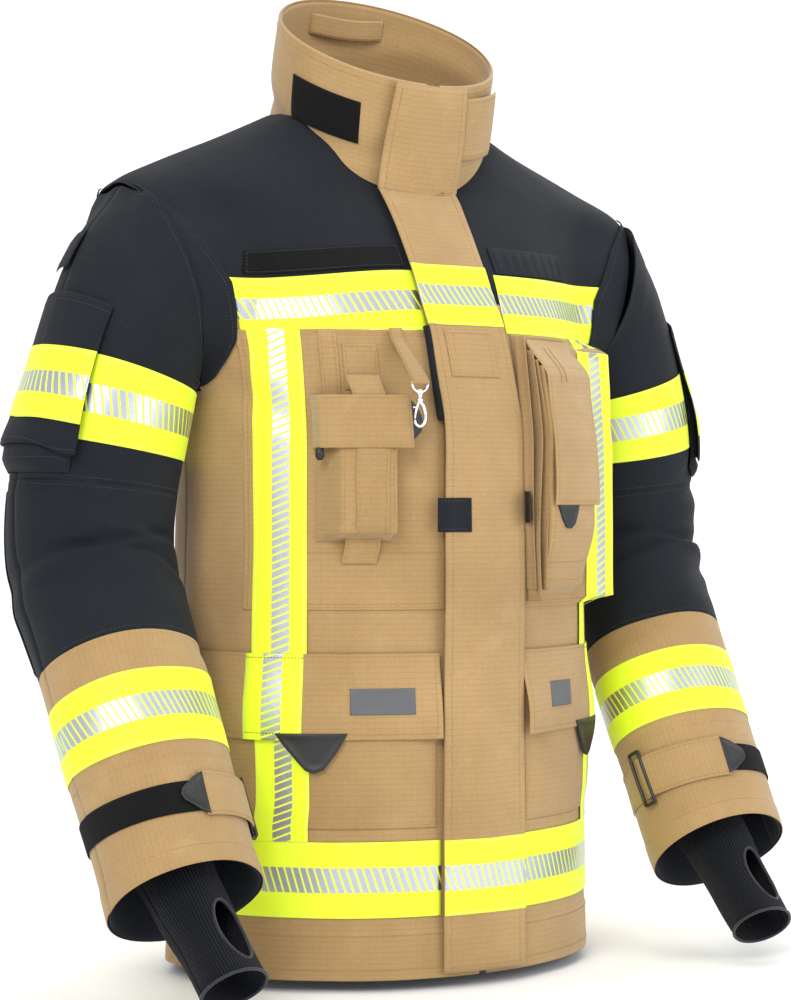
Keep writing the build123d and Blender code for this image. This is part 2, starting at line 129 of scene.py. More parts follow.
# sleeve centre line: x, y, z, half width, half depth
ARM_KEYS = np.array([
    (200, 17, 735, 72, 76), (258, 11, 712, 84, 86), (293, 10, 655, 81, 88), (317, 13, 570, 82, 87),
    (331, 16, 488, 84, 85), (335, 8, 405, 84, 81), (333, -42, 315, 81, 76), (329, -103, 212, 80, 70),
    (326, -163, 105, 78, 64), (324, -190, 58, 78, 62)], float)


def catmull(keys, per=14):
    k = np.vstack([2 * keys[0] - keys[1], keys, 2 * keys[-1] - keys[-2]])
    t = np.linspace(0, 1, per, endpoint=False)[:, None]
    out = []
    for i in range(1, len(k) - 2):
        p0, p1, p2, p3 = k[i - 1:i + 3]
        out.append(0.5 * (2 * p1 + (p2 - p0) * t + (2 * p0 - 5 * p1 + 4 * p2 - p3) * t ** 2
                          + (3 * p1 - p0 - 3 * p2 + p3) * t ** 3))
    return np.vstack(out + [keys[-1:]])


ARM = catmull(ARM_KEYS)
ARM_S = np.concatenate([[0], np.cumsum(np.linalg.norm(np.diff(ARM[:, :3], axis=0), axis=1))])
ARM_T = unit(np.gradient(ARM[:, :3], axis=0))
_i = int(np.argmax(past_armhole(ARM[:, :3]) > 0))
S0 = float(np.interp(0, past_armhole(ARM[_i - 1:_i + 1, :3]), ARM_S[_i - 1:_i + 1]))
ARM_S -= S0


def arm_line(s):
    """Centre, tangent, half width and half depth of the left sleeve at distance s from the armhole."""
    c = np.stack([np.interp(s, ARM_S, ARM[:, i]) for i in range(5)], -1)
    t = unit(np.stack([np.interp(s, ARM_S, ARM_T[:, i]) for i in range(3)], -1))
    return c[..., :3], t, c[..., 3], c[..., 4]


def arm_s_at(z):
    return float(np.interp(-z, -ARM[:, 2], ARM_S))


def sleeve_distance(p):
    """Distance outside the left sleeve, for points of shape (n, 3)."""
    out = np.empty(len(p))
    for i in range(0, len(p), 60000):
        q = p[i:i + 60000]
        n = np.argmin(((q[:, None, :] - ARM[None, ::2, :3]) ** 2).sum(-1), 1) * 2
        c, t = ARM[n, :3], ARM_T[n]
        r = q - c
        r = r - t * (r * t).sum(-1, keepdims=True)
        across = unit(np.cross(t, arr(0, 1, 0)))
        k = np.sqrt(((r * across).sum(-1) / ARM[n, 3]) ** 2 + (r[:, 1] / ARM[n, 4]) ** 2) + 1e-6
        out[i:i + 60000] = np.linalg.norm(r, axis=-1) * (1 - 1 / k)
    return out


def body_field(p):
    """Torso and left sleeve run together, negative inside."""
    s = past_armhole(p)
    a = torso_distance(p) + 3 * np.maximum(0, s - 25)
    b = sleeve_distance(p) + 3 * np.maximum(0, -s - 30)
    k = 4 + (34 + 66 * smooth(np.abs(p[:, 1] - 10), 20, 70)) * smooth(p[:, 2], 592, 700)
    h = np.clip(0.5 + 0.5 * (b - a) / k, 0, 1)
    return b * (1 - h) + a * h - k * h * (1 - h)


def first_exit(origin, direction, start, stop, step):
    """Distance along each ray at which it leaves the body field."""
    rs = np.arange(start, stop, step)
    pts = origin[:, None, :] + direction[:, None, :] * rs[None, :, None]
    f = body_field(pts.reshape(-1, 3)).reshape(len(origin), len(rs))
    outside = f > 0
    i = np.argmax(outside, 1)
    none = ~outside.any(1)
    i = np.clip(i, 1, None)
    n = np.arange(len(origin))
    f0, f1 = f[n, i - 1], f[n, i]
    r = rs[i - 1] + step * np.clip(f0 / np.minimum(f0 - f1, -1e-6), 0, 1)
    return np.where(none, stop, r)


PHI = np.radians(np.arange(-180, 180.1, 1.5))
ZED = np.concatenate([np.arange(-12, 560, 4.0), np.arange(560, 896.1, 3.0)])


def torso_table():
    half = PHI[PHI >= -1e-6]
    A, Z = np.meshgrid(half, ZED, indexing="ij")
    a, yc, b = section(Z)
    k = np.ones_like(A)
    near = (Z > 585) & (A > math.radians(38)) & (A < math.radians(150)) & (Z < 835)
    d = np.stack([a * np.sin(A), -b * np.cos(A), 0 * A], -1)[near]
    length = np.linalg.norm(d, axis=-1)
    o = np.stack([0 * A, yc, Z], -1)[near]
    to_plane = ((30 - (o[:, 2] - ARM_EDGE[2]) * ARM_NORMAL[2]) / ARM_NORMAL[0] + ARM_EDGE[0]) / d[:, 0]
    k[near] = np.minimum(first_exit(o, d / length[:, None], 60, 420, 4) / length, to_plane)
    k = np.vstack([k[::-1][:-1], k])
    A, Z = np.meshgrid(PHI, ZED, indexing="ij")
    kernel = np.exp(-0.5 * (np.arange(-8, 9) / 3.0) ** 2)
    kernel /= kernel.sum()
    soft = np.apply_along_axis(lambda r: np.convolve(np.pad(r, 8, mode="wrap"), kernel, "valid"), 0, k)
    soft = np.apply_along_axis(lambda r: np.convolve(np.pad(r, 8, mode="edge"), kernel, "valid"), 1, soft)
    around = (smooth(np.abs(A), 0.6, 0.8) * smooth(2.6 - np.abs(A), 0, 0.2) * smooth(Z, 575, 605)
              * smooth(850 - Z, 0, 20))
    k = k + (soft - k) * around
    a, yc, b = section(Z)
    arc = 210 * A
    amp = 0.55 + 0.45 * smooth(np.abs(A), 0.3, 1.2)
    fold = waves(arc, Z * 0.55, 3, 1.5, 90, 260) * amp + waves(arc, Z, 5, 0.5, 40, 110) * amp
    fold += 5.0 * np.exp(-((np.abs(A) - 1.62 + (Z - 300) * 0.0006) / 0.13) ** 2) * smooth(560 - Z, 0, 200)
    fold -= (4.5 * np.exp(-((np.abs(A) - 1.28 - (Z - 400) * 0.0004) / 0.12) ** 2) * smooth(Z, 120, 380)
             * smooth(620 - Z, 0, 120))
    fold += 3.0 * np.sin(3.1 * A + 0.8) * smooth(160 - Z, 0, 160) * smooth(np.abs(A), 0.4, 1.5)
    fold *= smooth(np.maximum(np.abs(past_armhole(np.stack([k * a * np.sin(A), 0 * A, Z], -1))),
                              70 * (Z < 590)), 8, 70)
    fold *= smooth(math.pi - np.abs(A), 0, 0.5)
    pull = (Z - 560) - 120 * (np.abs(A) - 0.95)
    fold -= 3.2 * np.exp(-(pull / 16) ** 2) * smooth(np.abs(A), 0.8, 1.05) * smooth(1.7 - np.abs(A), 0, 0.3)
    k = k + fold / np.hypot(a * np.sin(A), b * np.cos(A))
    return k


TORSO_K = torso_table()


def table(tab, xs, ys, x, y):
    i = np.clip(np.searchsorted(xs, x) - 1, 0, len(xs) - 2)
    j = np.clip(np.searchsorted(ys, y) - 1, 0, len(ys) - 2)
    u = np.clip((x - xs[i]) / (xs[i + 1] - xs[i]), 0, 1)
    v = np.clip((y - ys[j]) / (ys[j + 1] - ys[j]), 0, 1)
    return ((1 - u) * (1 - v) * tab[i, j] + u * (1 - v) * tab[i + 1, j]
            + (1 - u) * v * tab[i, j + 1] + u * v * tab[i + 1, j + 1])


def torso(phi, z):
    wrapped = (phi + math.pi) % (2 * math.pi) - math.pi
    a, yc, b = section(z)
    k = table(TORSO_K, PHI, ZED, wrapped, z)
    return np.stack([k * a * np.sin(phi), yc - k * b * np.cos(phi), z + 0 * phi], -1)


def front(x, z, off=0.0):
    """The front point at x and height z, off millimetres out from the torso."""
    a, yc, b = section(z)
    phi = np.arcsin(np.clip(x / (a + off), -NEAR_ONE, NEAR_ONE))
    k = table(TORSO_K, PHI, ZED, phi, z)
    return np.stack([k * (a + off) * np.sin(phi), yc - k * (b + off) * np.cos(phi), z + 0 * phi], -1)


def sag(phi):
    """The right side of the chest tape hangs a little lower than the left."""
    return 11 * smooth(-np.sin(phi), 0.2, 0.85)


def sagging(phi, z):
    return torso(phi, z - sag(phi))


def sagging_front(x, z, off=0.0):
    return front(x, z - sag(phi_of(x, z)), off)


BY_OFFSET = (front, sagging_front)


# ------------------------------------------------------------------ sleeve surface: left, the right mirrored
PSI = np.radians(np.arange(0, 360.1, 5.0))      # 0 outside, 90 front, 180 inside, 270 back
ESS = np.concatenate([np.arange(0, 240, 5.0), np.arange(240, 690, 6.0)])
FLAT_AT = 120.0


def arm_frame(s):
    c, t, w, d = arm_line(s)
    mix = smooth(s, 0, FLAT_AT)[..., None]
    n = unit(ARM_NORMAL * (1 - mix) + t * mix)
    front_dir = unit(arr(0, -1, 0) - n * (n @ arr(0, -1, 0))[..., None])
    return c, n, unit(np.cross(front_dir, n)), front_dir, w, d


def sleeve_table(seed, mirror_folds):
    S, A = np.meshgrid(ESS, PSI, indexing="ij")
    c, n, out_dir, front_dir, w, d = arm_frame(S.ravel())
    A, S = A.ravel(), S.ravel()
    direction = out_dir * np.cos(A)[:, None] + front_dir * np.sin(A)[:, None]
    tube = 1 / np.sqrt((np.cos(A) / w) ** 2 + (np.sin(A) / d) ** 2)
    near = S < 170
    r = tube.copy()
    r[near] = first_exit(c[near], direction[near], 30, 190, 2.5)
    mix = smooth(S, 110, 168)
    r = r * (1 - mix) + tube * mix
    arc = 84 * A
    fold = (waves(arc, S * 0.5, seed, 1.0, 85, 240) + waves(np.sin(A) * 60 + S * 0.6, np.cos(A) * 60
            - S * 0.3, seed + 1, 1.3, 60, 160)) * smooth(S, 15, 110)
    bend = arm_s_at(430)
    for centre, tilt, depth, width, side in ((bend - 26, 34, 4.6, 9, 90), (bend + 6, -20, 5.4, 9, 80),
                                             (bend + 34, 26, 3.6, 8, 105), (bend - 66, 42, 3.2, 11, 60),
                                             (bend + 62, 30, 2.6, 10, 40), (bend + 118, 34, 2.4, 12, 110)):
        swing = smooth(np.cos(A - math.radians(side + mirror_folds)), -0.1, 0.8)
        along = S - centre - tilt * np.sin(A - math.radians(side))
        fold -= depth * np.exp(-(along / width) ** 2) * swing
        fold += 0.6 * depth * np.exp(-((along - 1.9 * width) / (1.3 * width)) ** 2) * swing
    return (r + fold).reshape(len(ESS), len(PSI))


SLEEVE_R = {1: sleeve_table(21, 0), -1: sleeve_table(31, -14)}


def sleeve(side):
    def surface(s, psi):
        c, n, out_dir, front_dir, w, d = arm_frame(s)
        r = table(SLEEVE_R[side], ESS, PSI, s, psi % (2 * math.pi))
        p = c + (out_dir * np.cos(psi)[..., None] + front_dir * np.sin(psi)[..., None]) * r[..., None]
        return p * arr(side, 1, 1)
    return surface


# ------------------------------------------------------------------ collar surface
COLLAR_BASE, COLLAR_RIM = (118, 92, 15, 838, 49), (125, 88, -12, 960, 58)


def collar(phi, h):
    """h is 0 at the base and 1 at the rim; phi is 0 in front."""
    ac, bc, yc, zc, fall = [lo + (hi - lo) * h for lo, hi in zip(COLLAR_BASE, COLLAR_RIM)]
    puff = waves(120 * phi, 90 * h, 41, 0.9, 60, 170) + 1.6 * np.sin(math.pi * np.clip(h, 0, 1))
    lean = 4.5 * np.exp(-((h - 0.5 - 0.25 * np.cos(phi - 1.9)) / 0.12) ** 2) * smooth(np.abs(phi), 0.8, 1.6)
    k = 1 + (puff - lean) / 105
    return np.stack([k * ac * np.sin(phi), yc - k * bc * np.cos(phi), zc - fall * np.cos(phi)], -1)


# ------------------------------------------------------------------ materials
def nodes_of(name):
    m = bpy.data.materials.new(name)
    m.use_nodes = True
    nt = m.node_tree
    return m, nt, nt.nodes["Principled BSDF"]


class Net:
    """Short ways to wire a node tree."""
    def __init__(self, name):
        self.mat, self.nt, self.bsdf = nodes_of(name)
        self.n, self.l = self.nt.nodes, self.nt.links

    def set(self, **kw):
        for k, v in kw.items():
            self.bsdf.inputs[k.replace("_", " ")].default_value = v

    def math(self, op, a, b=None, clamp=False):
        n = self.n.new("ShaderNodeMath")
        n.operation, n.use_clamp = op, clamp
        for i, x in enumerate((a, b)):
            if x is None:
                continue
            if isinstance(x, (int, float)):
                n.inputs[i].default_value = x
            else:
                self.l.new(x, n.inputs[i])
        return n.outputs[0]

    def uv(self):
        t = self.n.new("ShaderNodeUVMap")
        t.uv_map = "UVMap"
        s = self.n.new("ShaderNodeSeparateXYZ")
        self.l.new(t.outputs[0], s.inputs[0])
        self.uv_out = t.outputs[0]
        return s.outputs[0], s.outputs[1]

    def noise(self, scale, detail=3.0, rough=0.55, vector=None, stretch=None):
        n = self.n.new("ShaderNodeTexNoise")
        n.inputs["Scale"].default_value, n.inputs["Detail"].default_value = scale, detail
        n.inputs["Roughness"].default_value = rough
        if vector is None:
            c = self.n.new("ShaderNodeTexCoord")
            vector = c.outputs["Object"]
        if stretch:
            m = self.n.new("ShaderNodeMapping")
            m.inputs["Scale"].default_value = stretch
            self.l.new(vector, m.inputs[0])
            vector = m.outputs[0]
        self.l.new(vector, n.inputs["Vector"])
        return n.outputs["Fac"]

    def ramp(self, fac, stops):
        r = self.n.new("ShaderNodeValToRGB")
        e = r.color_ramp.elements
        while len(e) < len(stops):
            e.new(0.5)
        for el, (p, c) in zip(e, stops):
            el.position, el.color = p, (*c, 1)
        self.l.new(fac, r.inputs[0])
        return r.outputs[0]

    def mix(self, fac, a, b, kind="MIX"):
        m = self.n.new("ShaderNodeMix")
        m.data_type, m.blend_type = "RGBA", kind
        for sock, x in ((m.inputs[0], fac), (m.inputs[6], a), (m.inputs[7], b)):
            if isinstance(x, (int, float)):
                sock.default_value = x
            elif isinstance(x, tuple):
                sock.default_value = (*x, 1)
            else:
                self.l.new(x, sock)
        return m.outputs[2]

    def bump(self, height, strength, distance, under=None):
        b = self.n.new("ShaderNodeBump")
        b.inputs["Strength"].default_value, b.inputs["Distance"].default_value = strength, distance
        self.l.new(height, b.inputs["Height"])
        if under is not None:
            self.l.new(under, b.inputs["Normal"])
        return b.outputs[0]

    def out(self, colour=None, normal=None, rough=None):
        if colour is not None:
            self.l.new(colour, self.bsdf.inputs["Base Color"])
        if normal is not None:
            self.l.new(normal, self.bsdf.inputs["Normal"])
        if rough is not None:
            self.l.new(rough, self.bsdf.inputs["Roughness"])
        return self.mat


def line_mask(net, coord, pitch, width):
    """1 on thin lines every pitch metres, 0 between."""
    f = net.math("FRACT", net.math("DIVIDE", coord, pitch))
    return net.math("LESS_THAN", f, width / pitch)


def cloth(name, dark, light, rib=0.0055, rib_dark=0.86, sheen=0.25, weave=0.0011, worn=None, rough=0.82,
          fleck=0.16):
    n = Net(name)
    u, v = n.uv()
    broad = n.noise(7, 4, 0.6)
    fine = n.noise(420, 2, 0.6)
    base = n.mix(n.ramp(broad, [(0.3, (0, 0, 0)), (0.7, (1, 1, 1))]), dark, light)
    slub = n.noise(1, 3, 0.7, n.uv_out, (260, 1500, 1))
    base = n.mix(fleck, base, n.ramp(slub, [(0.32, tuple(c * 0.45 for c in dark)),
                                            (0.7, tuple(min(1, c * 1.5) for c in light))]))
    lines = n.math("MAXIMUM", line_mask(n, v, rib, 0.0010), n.math("MULTIPLY",
            line_mask(n, u, rib * 1.25, 0.0008), 0.5))
    base = n.mix(n.math("MULTIPLY", lines, 1 - rib_dark), base, tuple(c * 0.4 for c in dark))
    if worn:
        base = n.mix(n.math("MULTIPLY", n.ramp(n.noise(26, 5, 0.65), [(0.55, (0, 0, 0)), (0.8, (1, 1, 1))]),
                            0.35), base, worn)
    w = n.math("MULTIPLY", n.math("SINE", n.math("MULTIPLY", n.math("ADD", u, v), 2 * math.pi / weave)),
               n.math("SINE", n.math("MULTIPLY", n.math("SUBTRACT", u, v), 2 * math.pi / weave)))
    b = n.bump(w, 0.35, 0.00018)
    b = n.bump(lines, 0.5, 0.0003, b)
    b = n.bump(fine, 0.35, 0.0006, b)
    b = n.bump(n.noise(55, 3, 0.6), 0.28, 0.0022, b)
    n.set(Roughness=rough, Sheen_Weight=sheen, Sheen_Roughness=0.5)
    n.bsdf.inputs["Specular IOR Level"].default_value = 0.22
    return n.out(base, b)


TAN_D, TAN_L = (0.335, 0.208, 0.085), (0.445, 0.290, 0.128)
M = {}
M["tan"] = cloth("tan_ripstop", TAN_D, TAN_L, worn=(0.52, 0.36, 0.18))
M["black"] = cloth("black_twill", (0.0045, 0.0062, 0.0095), (0.0105, 0.0138, 0.0195), rib=0.004,
                   rib_dark=0.7, sheen=0.03, rough=0.8, fleck=0.4)
M["liner"] = cloth("liner_cloth", (0.012, 0.014, 0.022), (0.024, 0.028, 0.04), rib=0.003, rib_dark=0.75,
                   sheen=0.1)


def tape(name, slant, pitch=0.0078):
    """Yellow tape with a band of slanted silver bars: u runs along it in metres, v across it from 0 to 1."""
    n = Net(name)
    u, v = n.uv()
    f = n.math("FRACT", n.math("DIVIDE", n.math("ADD", u, n.math("MULTIPLY", v, slant)), pitch))
    bars = n.math("LESS_THAN", f, 0.76)
    band = n.math("MULTIPLY", n.math("GREATER_THAN", v, 0.335), n.math("LESS_THAN", v, 0.665))
    silver = n.math("MULTIPLY", bars, band)
    yellow = n.mix(n.noise(18, 3), (0.66, 0.83, 0.012), (0.78, 0.93, 0.03))
    grain = n.mix(n.noise(900, 1), (0.40, 0.44, 0.50), (0.66, 0.70, 0.76))
    n.l.new(silver, n.bsdf.inputs["Metallic"])
    n.l.new(n.math("ADD", 0.62, n.math("MULTIPLY", silver, -0.2)), n.bsdf.inputs["Roughness"])
    b = n.bump(n.math("MULTIPLY", silver, 1.0), 0.35, 0.0003)
    w = n.math("MULTIPLY", n.math("SINE", n.math("MULTIPLY", u, 5200)),
               n.math("SINE", n.math("MULTIPLY", v, 420)))
    b = n.bump(w, 0.12, 0.0002, b)
    b = n.bump(n.noise(60, 3), 0.2, 0.0014, b)
    n.set(Sheen_Weight=0.1)
    # painted glow: a faint yellow emission on the tape's yellow parts stands in for the tape's fluorescence
    n.bsdf.inputs["Emission Strength"].default_value = 0.14
    colour = n.mix(silver, yellow, grain)
    n.l.new(n.mix(silver, (0.62, 0.86, 0.0), (0.0, 0.0, 0.0)), n.bsdf.inputs["Emission Color"])
    return n.out(colour, b)


M["tape"] = tape("reflective_tape", 0.024)
M["tape_back"] = tape("reflective_tape_reverse", -0.022)


def plain(name, colour, rough, metal=0.0, spec=0.5, bump=(400, 0.1, 0.0003), sheen=0.0, vary=0.15,
          coat=0.0):
    n = Net(name)
    c = n.mix(n.noise(22, 3), tuple(x * (1 - vary) for x in colour),
              tuple(min(1, x * (1 + vary)) for x in colour))
    n.set(Metallic=metal, Sheen_Weight=sheen, Coat_Weight=coat)
    n.bsdf.inputs["Specular IOR Level"].default_value = spec
    r = n.math("ADD", rough - 0.04, n.math("MULTIPLY", n.noise(60, 2), 0.08))
    return n.out(c, n.bump(n.noise(bump[0], 3), bump[1], bump[2]), r)


M["rubber"] = plain("moulded_rubber", (0.012, 0.013, 0.014), 0.46, bump=(900, 0.15, 0.0002))
M["plastic"] = plain("black_plastic", (0.010, 0.010, 0.011), 0.38, coat=0.1)
M["badge"] = plain("badge_rubber", (0.10, 0.105, 0.115), 0.5)
M["chrome"] = plain("polished_chrome", (0.80, 0.80, 0.82), 0.13, metal=1.0, vary=0.04,
                    bump=(200, 0.03, 0.0002))
M["brass"] = plain("dark_zip", (0.05, 0.045, 0.04), 0.4, metal=0.6)
M["thread"] = plain("golden_thread", (0.42, 0.225, 0.050), 0.7, bump=(3000, 0.3, 0.0002))
M["dark_thread"] = plain("dark_thread", (0.035, 0.038, 0.045), 0.7)
M["pale_thread"] = plain("pale_thread", (0.86, 0.90, 0.50), 0.7)
M["bind"] = plain("binding", (0.012, 0.014, 0.02), 0.8, sheen=0.2, bump=(700, 0.5, 0.0006))


def fuzzy():
    n = Net("hook_and_loop")
    speck = n.noise(1500, 2, 0.8)
    c = n.ramp(speck, [(0.35, (0.0018, 0.0018, 0.002)), (0.75, (0.016, 0.016, 0.018))])
    b = n.bump(speck, 1.0, 0.0012)
    b = n.bump(n.noise(420, 3, 0.8), 0.7, 0.0014, b)
    n.set(Roughness=0.97, Sheen_Weight=0.05)
    n.bsdf.inputs["Specular IOR Level"].default_value = 0.1
    return n.out(c, b)


def knit():
    n = Net("rib_knit")
    u, v = n.uv()
    rib = n.math("SINE", n.math("MULTIPLY", u, 2 * math.pi / 0.0036))
    loop = n.math("SINE", n.math("MULTIPLY", v, 2 * math.pi / 0.0019))
    # painted shade: the colour follows the ribs and is darker in the grooves between them
    c = n.mix(n.math("MULTIPLY", n.math("ADD", rib, 1), 0.5), (0.002, 0.0025, 0.0045),
              (0.0085, 0.010, 0.016))
    b = n.bump(n.math("ADD", rib, n.math("MULTIPLY", loop, 0.35)), 0.8, 0.0007)
    b = n.bump(n.noise(500, 3), 0.3, 0.0005, b)
    n.set(Roughness=0.9, Sheen_Weight=0.06)
    n.bsdf.inputs["Specular IOR Level"].default_value = 0.15
    return n.out(c, b)


M["fuzz"], M["knit"] = fuzzy(), knit()


# ------------------------------------------------------------------ building pieces
def normals(p, flip=False):
    du = np.gradient(p, axis=0)
    dv = np.gradient(p, axis=1)
    n = unit(np.cross(du, dv))
    return -n if flip else n


def spans(lo, hi, step, extra=()):
    """Even steps from lo to hi, closer together at both ends so that an edge can roll."""
    n = max(2, int(abs(hi - lo) / step) + 1)
    g = np.linspace(lo, hi, n)
    s = 1 if hi > lo else -1
    e = [lo + s * x for x in (0.5, 1.4)] + [hi - s * x for x in (1.4, 0.5)]
    if abs(hi - lo) > 8:
        g = np.concatenate([g, e, np.array(extra, float)])
    return np.unique(g)[::s]


class Piece:
    def __init__(self, name):
        self.name, self.v, self.f, self.uv, self.mi, self.mats, self.n = name, [], [], [], [], [], 0
        self.flat = None

    def slot(self, mat):
        if mat not in self.mats:
            self.mats.append(mat)
        return self.mats.index(mat)

    def add(self, verts, faces, mat, uv=None):
        verts = np.asarray(verts, float).reshape(-1, 3)
        self.v.append(verts)
        self.uv.append(np.zeros((len(verts), 2)) if uv is None else np.asarray(uv, float).reshape(-1, 2))
        faces = np.asarray(faces) + self.n
        self.f.extend(faces.tolist())
        self.mi.extend([self.slot(mat)] * len(faces))
        self.n += len(verts)

    def slab(self, p, nrm, thick, mat, uv=None, roll=0.9, back=None, keep=None):
        """A sheet through p, thick along its normals inwards, its edge rolled over. All in millimetres."""
        n, m = p.shape[:2]
        su = np.concatenate([[0], np.cumsum(np.linalg.norm(np.diff(p, axis=0), axis=-1).mean(1))])
        sv = np.concatenate([[0], np.cumsum(np.linalg.norm(np.diff(p, axis=1), axis=-1).mean(0))])
        if uv is None:
            uv = np.stack(np.meshgrid(su / 1000, sv / 1000, indexing="ij"), -1)
        edge = np.minimum(np.minimum(su, su[-1] - su)[:, None], np.minimum(sv, sv[-1] - sv)[None, :])
        drop = thick * 0.5 * roll * (1 - np.clip(edge / 1.6, 0, 1)) ** 2
        top, bot = p - nrm * drop[..., None], p - nrm * (thick - drop)[..., None]
        idx = np.arange(n * m).reshape(n, m)
        q = np.stack([idx[:-1, :-1], idx[1:, :-1], idx[1:, 1:], idx[:-1, 1:]], -1).reshape(-1, 4)
        if keep is not None:
            q = q[keep[:-1, :-1].ravel() & keep[1:, 1:].ravel()]
        self.add(top, q, mat, uv)
        self.add(bot, q[:, ::-1], back or mat, uv)
        if keep is None:
            a = self.n - 2 * n * m
            ring = np.concatenate([idx[:, 0], idx[-1, 1:], idx[-2::-1, -1], idx[0, -2:0:-1]])
            nxt = np.roll(ring, -1)
            off = n * m
            rim = np.stack([ring + a, ring + a + off, nxt + a + off, nxt + a], -1)
            self.f.extend(rim.tolist())
            self.mi.extend([self.slot(mat)] * len(rim))
        if self.flat is None:
            area = np.linalg.norm(np.cross(p[1:, :-1] - p[:-1, :-1], p[:-1, 1:] - p[:-1, :-1]),
                                  axis=-1).sum()
            wide = np.linalg.norm(np.diff(p, axis=0), axis=-1).sum(0).max()
            tall = np.linalg.norm(np.diff(p, axis=1), axis=-1).sum(1).max()
            self.flat = (wide / 1000, tall / 1000, min(area, wide * tall) / 1e6)

    def sheet(self, surface, us, vs, off=0.0, thick=1.4, mat="tan", flip=False, uv=None, lift=None, **kw):
        """A slab that lies off millimetres above a surface; lift(U, V) adds to that."""
        U, V = np.meshgrid(us, vs, indexing="ij")
        rise = off + thick + (0 if lift is None else lift(U, V))
        if surface in BY_OFFSET:
            p = surface(U, V, rise)
            nrm = nrm2 = normals(p, flip)
        else:
            p = surface(U, V)
            nrm = normals(p, flip)
            p = p + nrm * (rise[..., None] if isinstance(rise, np.ndarray) else rise)
            nrm2 = normals(p, flip)
        if uv is not None:
            uv = uv(U, V)
        self.slab(p, nrm2 if lift is not None else nrm, thick, mat, uv, **kw)
        return p, nrm2

    def dashes(self, line, nrm, mat="thread", length=2.3, pitch=3.5, radius=0.42):
        """Stitches along a line of points."""
        line, nrm = np.asarray(line, float), np.asarray(nrm, float)
        s = np.concatenate([[0], np.cumsum(np.linalg.norm(np.diff(line, axis=0), axis=1))])
        count = int((s[-1] - length) / pitch) + 1
        if count < 1:
            return
        mid = length / 2 + np.arange(count) * pitch
        get = lambda x, a: np.stack([np.interp(x, s, a[:, i]) for i in range(3)], -1)
        c, up = get(mid, line), unit(get(mid, nrm))
        t = unit(get(mid + length / 2, line) - get(mid - length / 2, line))
        side = unit(np.cross(up, t))
        st = []
        for along, r, rise in ((-0.5, 0.35, -0.35), (-0.28, 1, 0.1), (0.28, 1, 0.1), (0.5, 0.35, -0.35)):
            for a, b in ((1, 0), (0.25, 1), (-0.25, 1), (-1, 0)):
                st.append(c + t * length * along + side * (a * r * radius)
                          + up * (b * r * radius * 0.8 + rise * radius))
        v = np.stack(st, 1).reshape(-1, 3)
        base = np.array([[i * 4 + j, i * 4 + (j + 1) % 4, (i + 1) * 4 + (j + 1) % 4, (i + 1) * 4 + j]
                         for i in range(3) for j in range(4)]
                        + [[3, 2, 1, 0], [12, 13, 14, 15]])
        f = (np.arange(count)[:, None, None] * 16 + base[None]).reshape(-1, 4)
        self.add(v, f, mat)

    def seam(self, surface, path, off, mat="thread", flip=False, lift=None, **kw):
        """Stitches along a path of surface parameters, off millimetres above it."""
        path = np.asarray(path, float)
        seg = np.linspace(0, 1, max(2, 40))
        pts = np.vstack([np.stack([a + (b - a) * t for t in seg[(0 if i == 0 else 1):]]) for i,
                         (a, b) in enumerate(zip(path[:-1], path[1:]))])
        u, v = pts[:, 0], pts[:, 1]
        e = 0.01 if abs(np.ptp(u)) < 20 else 1.0
        p = surface(u, v)
        pu, pv = surface(u + e, v), surface(u, v + (0.01 if np.ptp(v) < 8 and np.abs(v).max() < 8 else 1.0))
        n = unit(np.cross(pu - p, pv - p))
        if flip:
            n = -n
        rise = off + (0 if lift is None else lift(u, v))
        if surface in BY_OFFSET:
            p = surface(u, v, rise)
            n = unit(np.cross(surface(u + e, v, rise) - p, surface(u, v + 1.0, rise) - p))
            self.dashes(p, -n if flip else n, mat, **kw)
            return
        rise = rise[:, None] if isinstance(rise, np.ndarray) else rise
        self.dashes(p + n * rise, n, mat, **kw)

    def tube(self, line, radius, mat, sides=8, closed=False, squash=1.0, up=(0, -1, 0)):
        line = np.asarray(line, float)
        t = unit(np.roll(line, -1, 0) - np.roll(line, 1, 0)) if closed else unit(np.gradient(line, axis=0))
        side = unit(np.cross(t, arr(*up)))
        other = np.cross(side, t)
        a = np.linspace(0, 2 * math.pi, sides, endpoint=False)
        r = np.broadcast_to(np.asarray(radius, float), (len(line),))[:, None, None]
        v = (line[:, None] + r
             * (side[:, None] * np.cos(a)[None, :, None] + squash * other[:, None] * np.sin(a)[None, :,
                     None]))
        n = len(line)
        i, j = np.meshgrid(np.arange(n if closed else n - 1), np.arange(sides), indexing="ij")
        f = np.stack([i * sides + j, ((i + 1) % n) * sides + j, ((i + 1) % n) * sides + (j + 1) % sides,
                      i * sides + (j + 1) % sides], -1).reshape(-1, 4)
        start = self.n
        run = np.arange(n) / 10
        uv = np.stack(np.meshgrid(run, a / 10, indexing="ij"), -1)
        self.add(v, f, mat, uv)
        if not closed:
            self.f.append((start + np.arange(sides)).tolist())
            self.f.append((start + (n - 1) * sides + np.arange(sides))[::-1].tolist())
            self.mi.extend([self.slot(mat)] * 2)

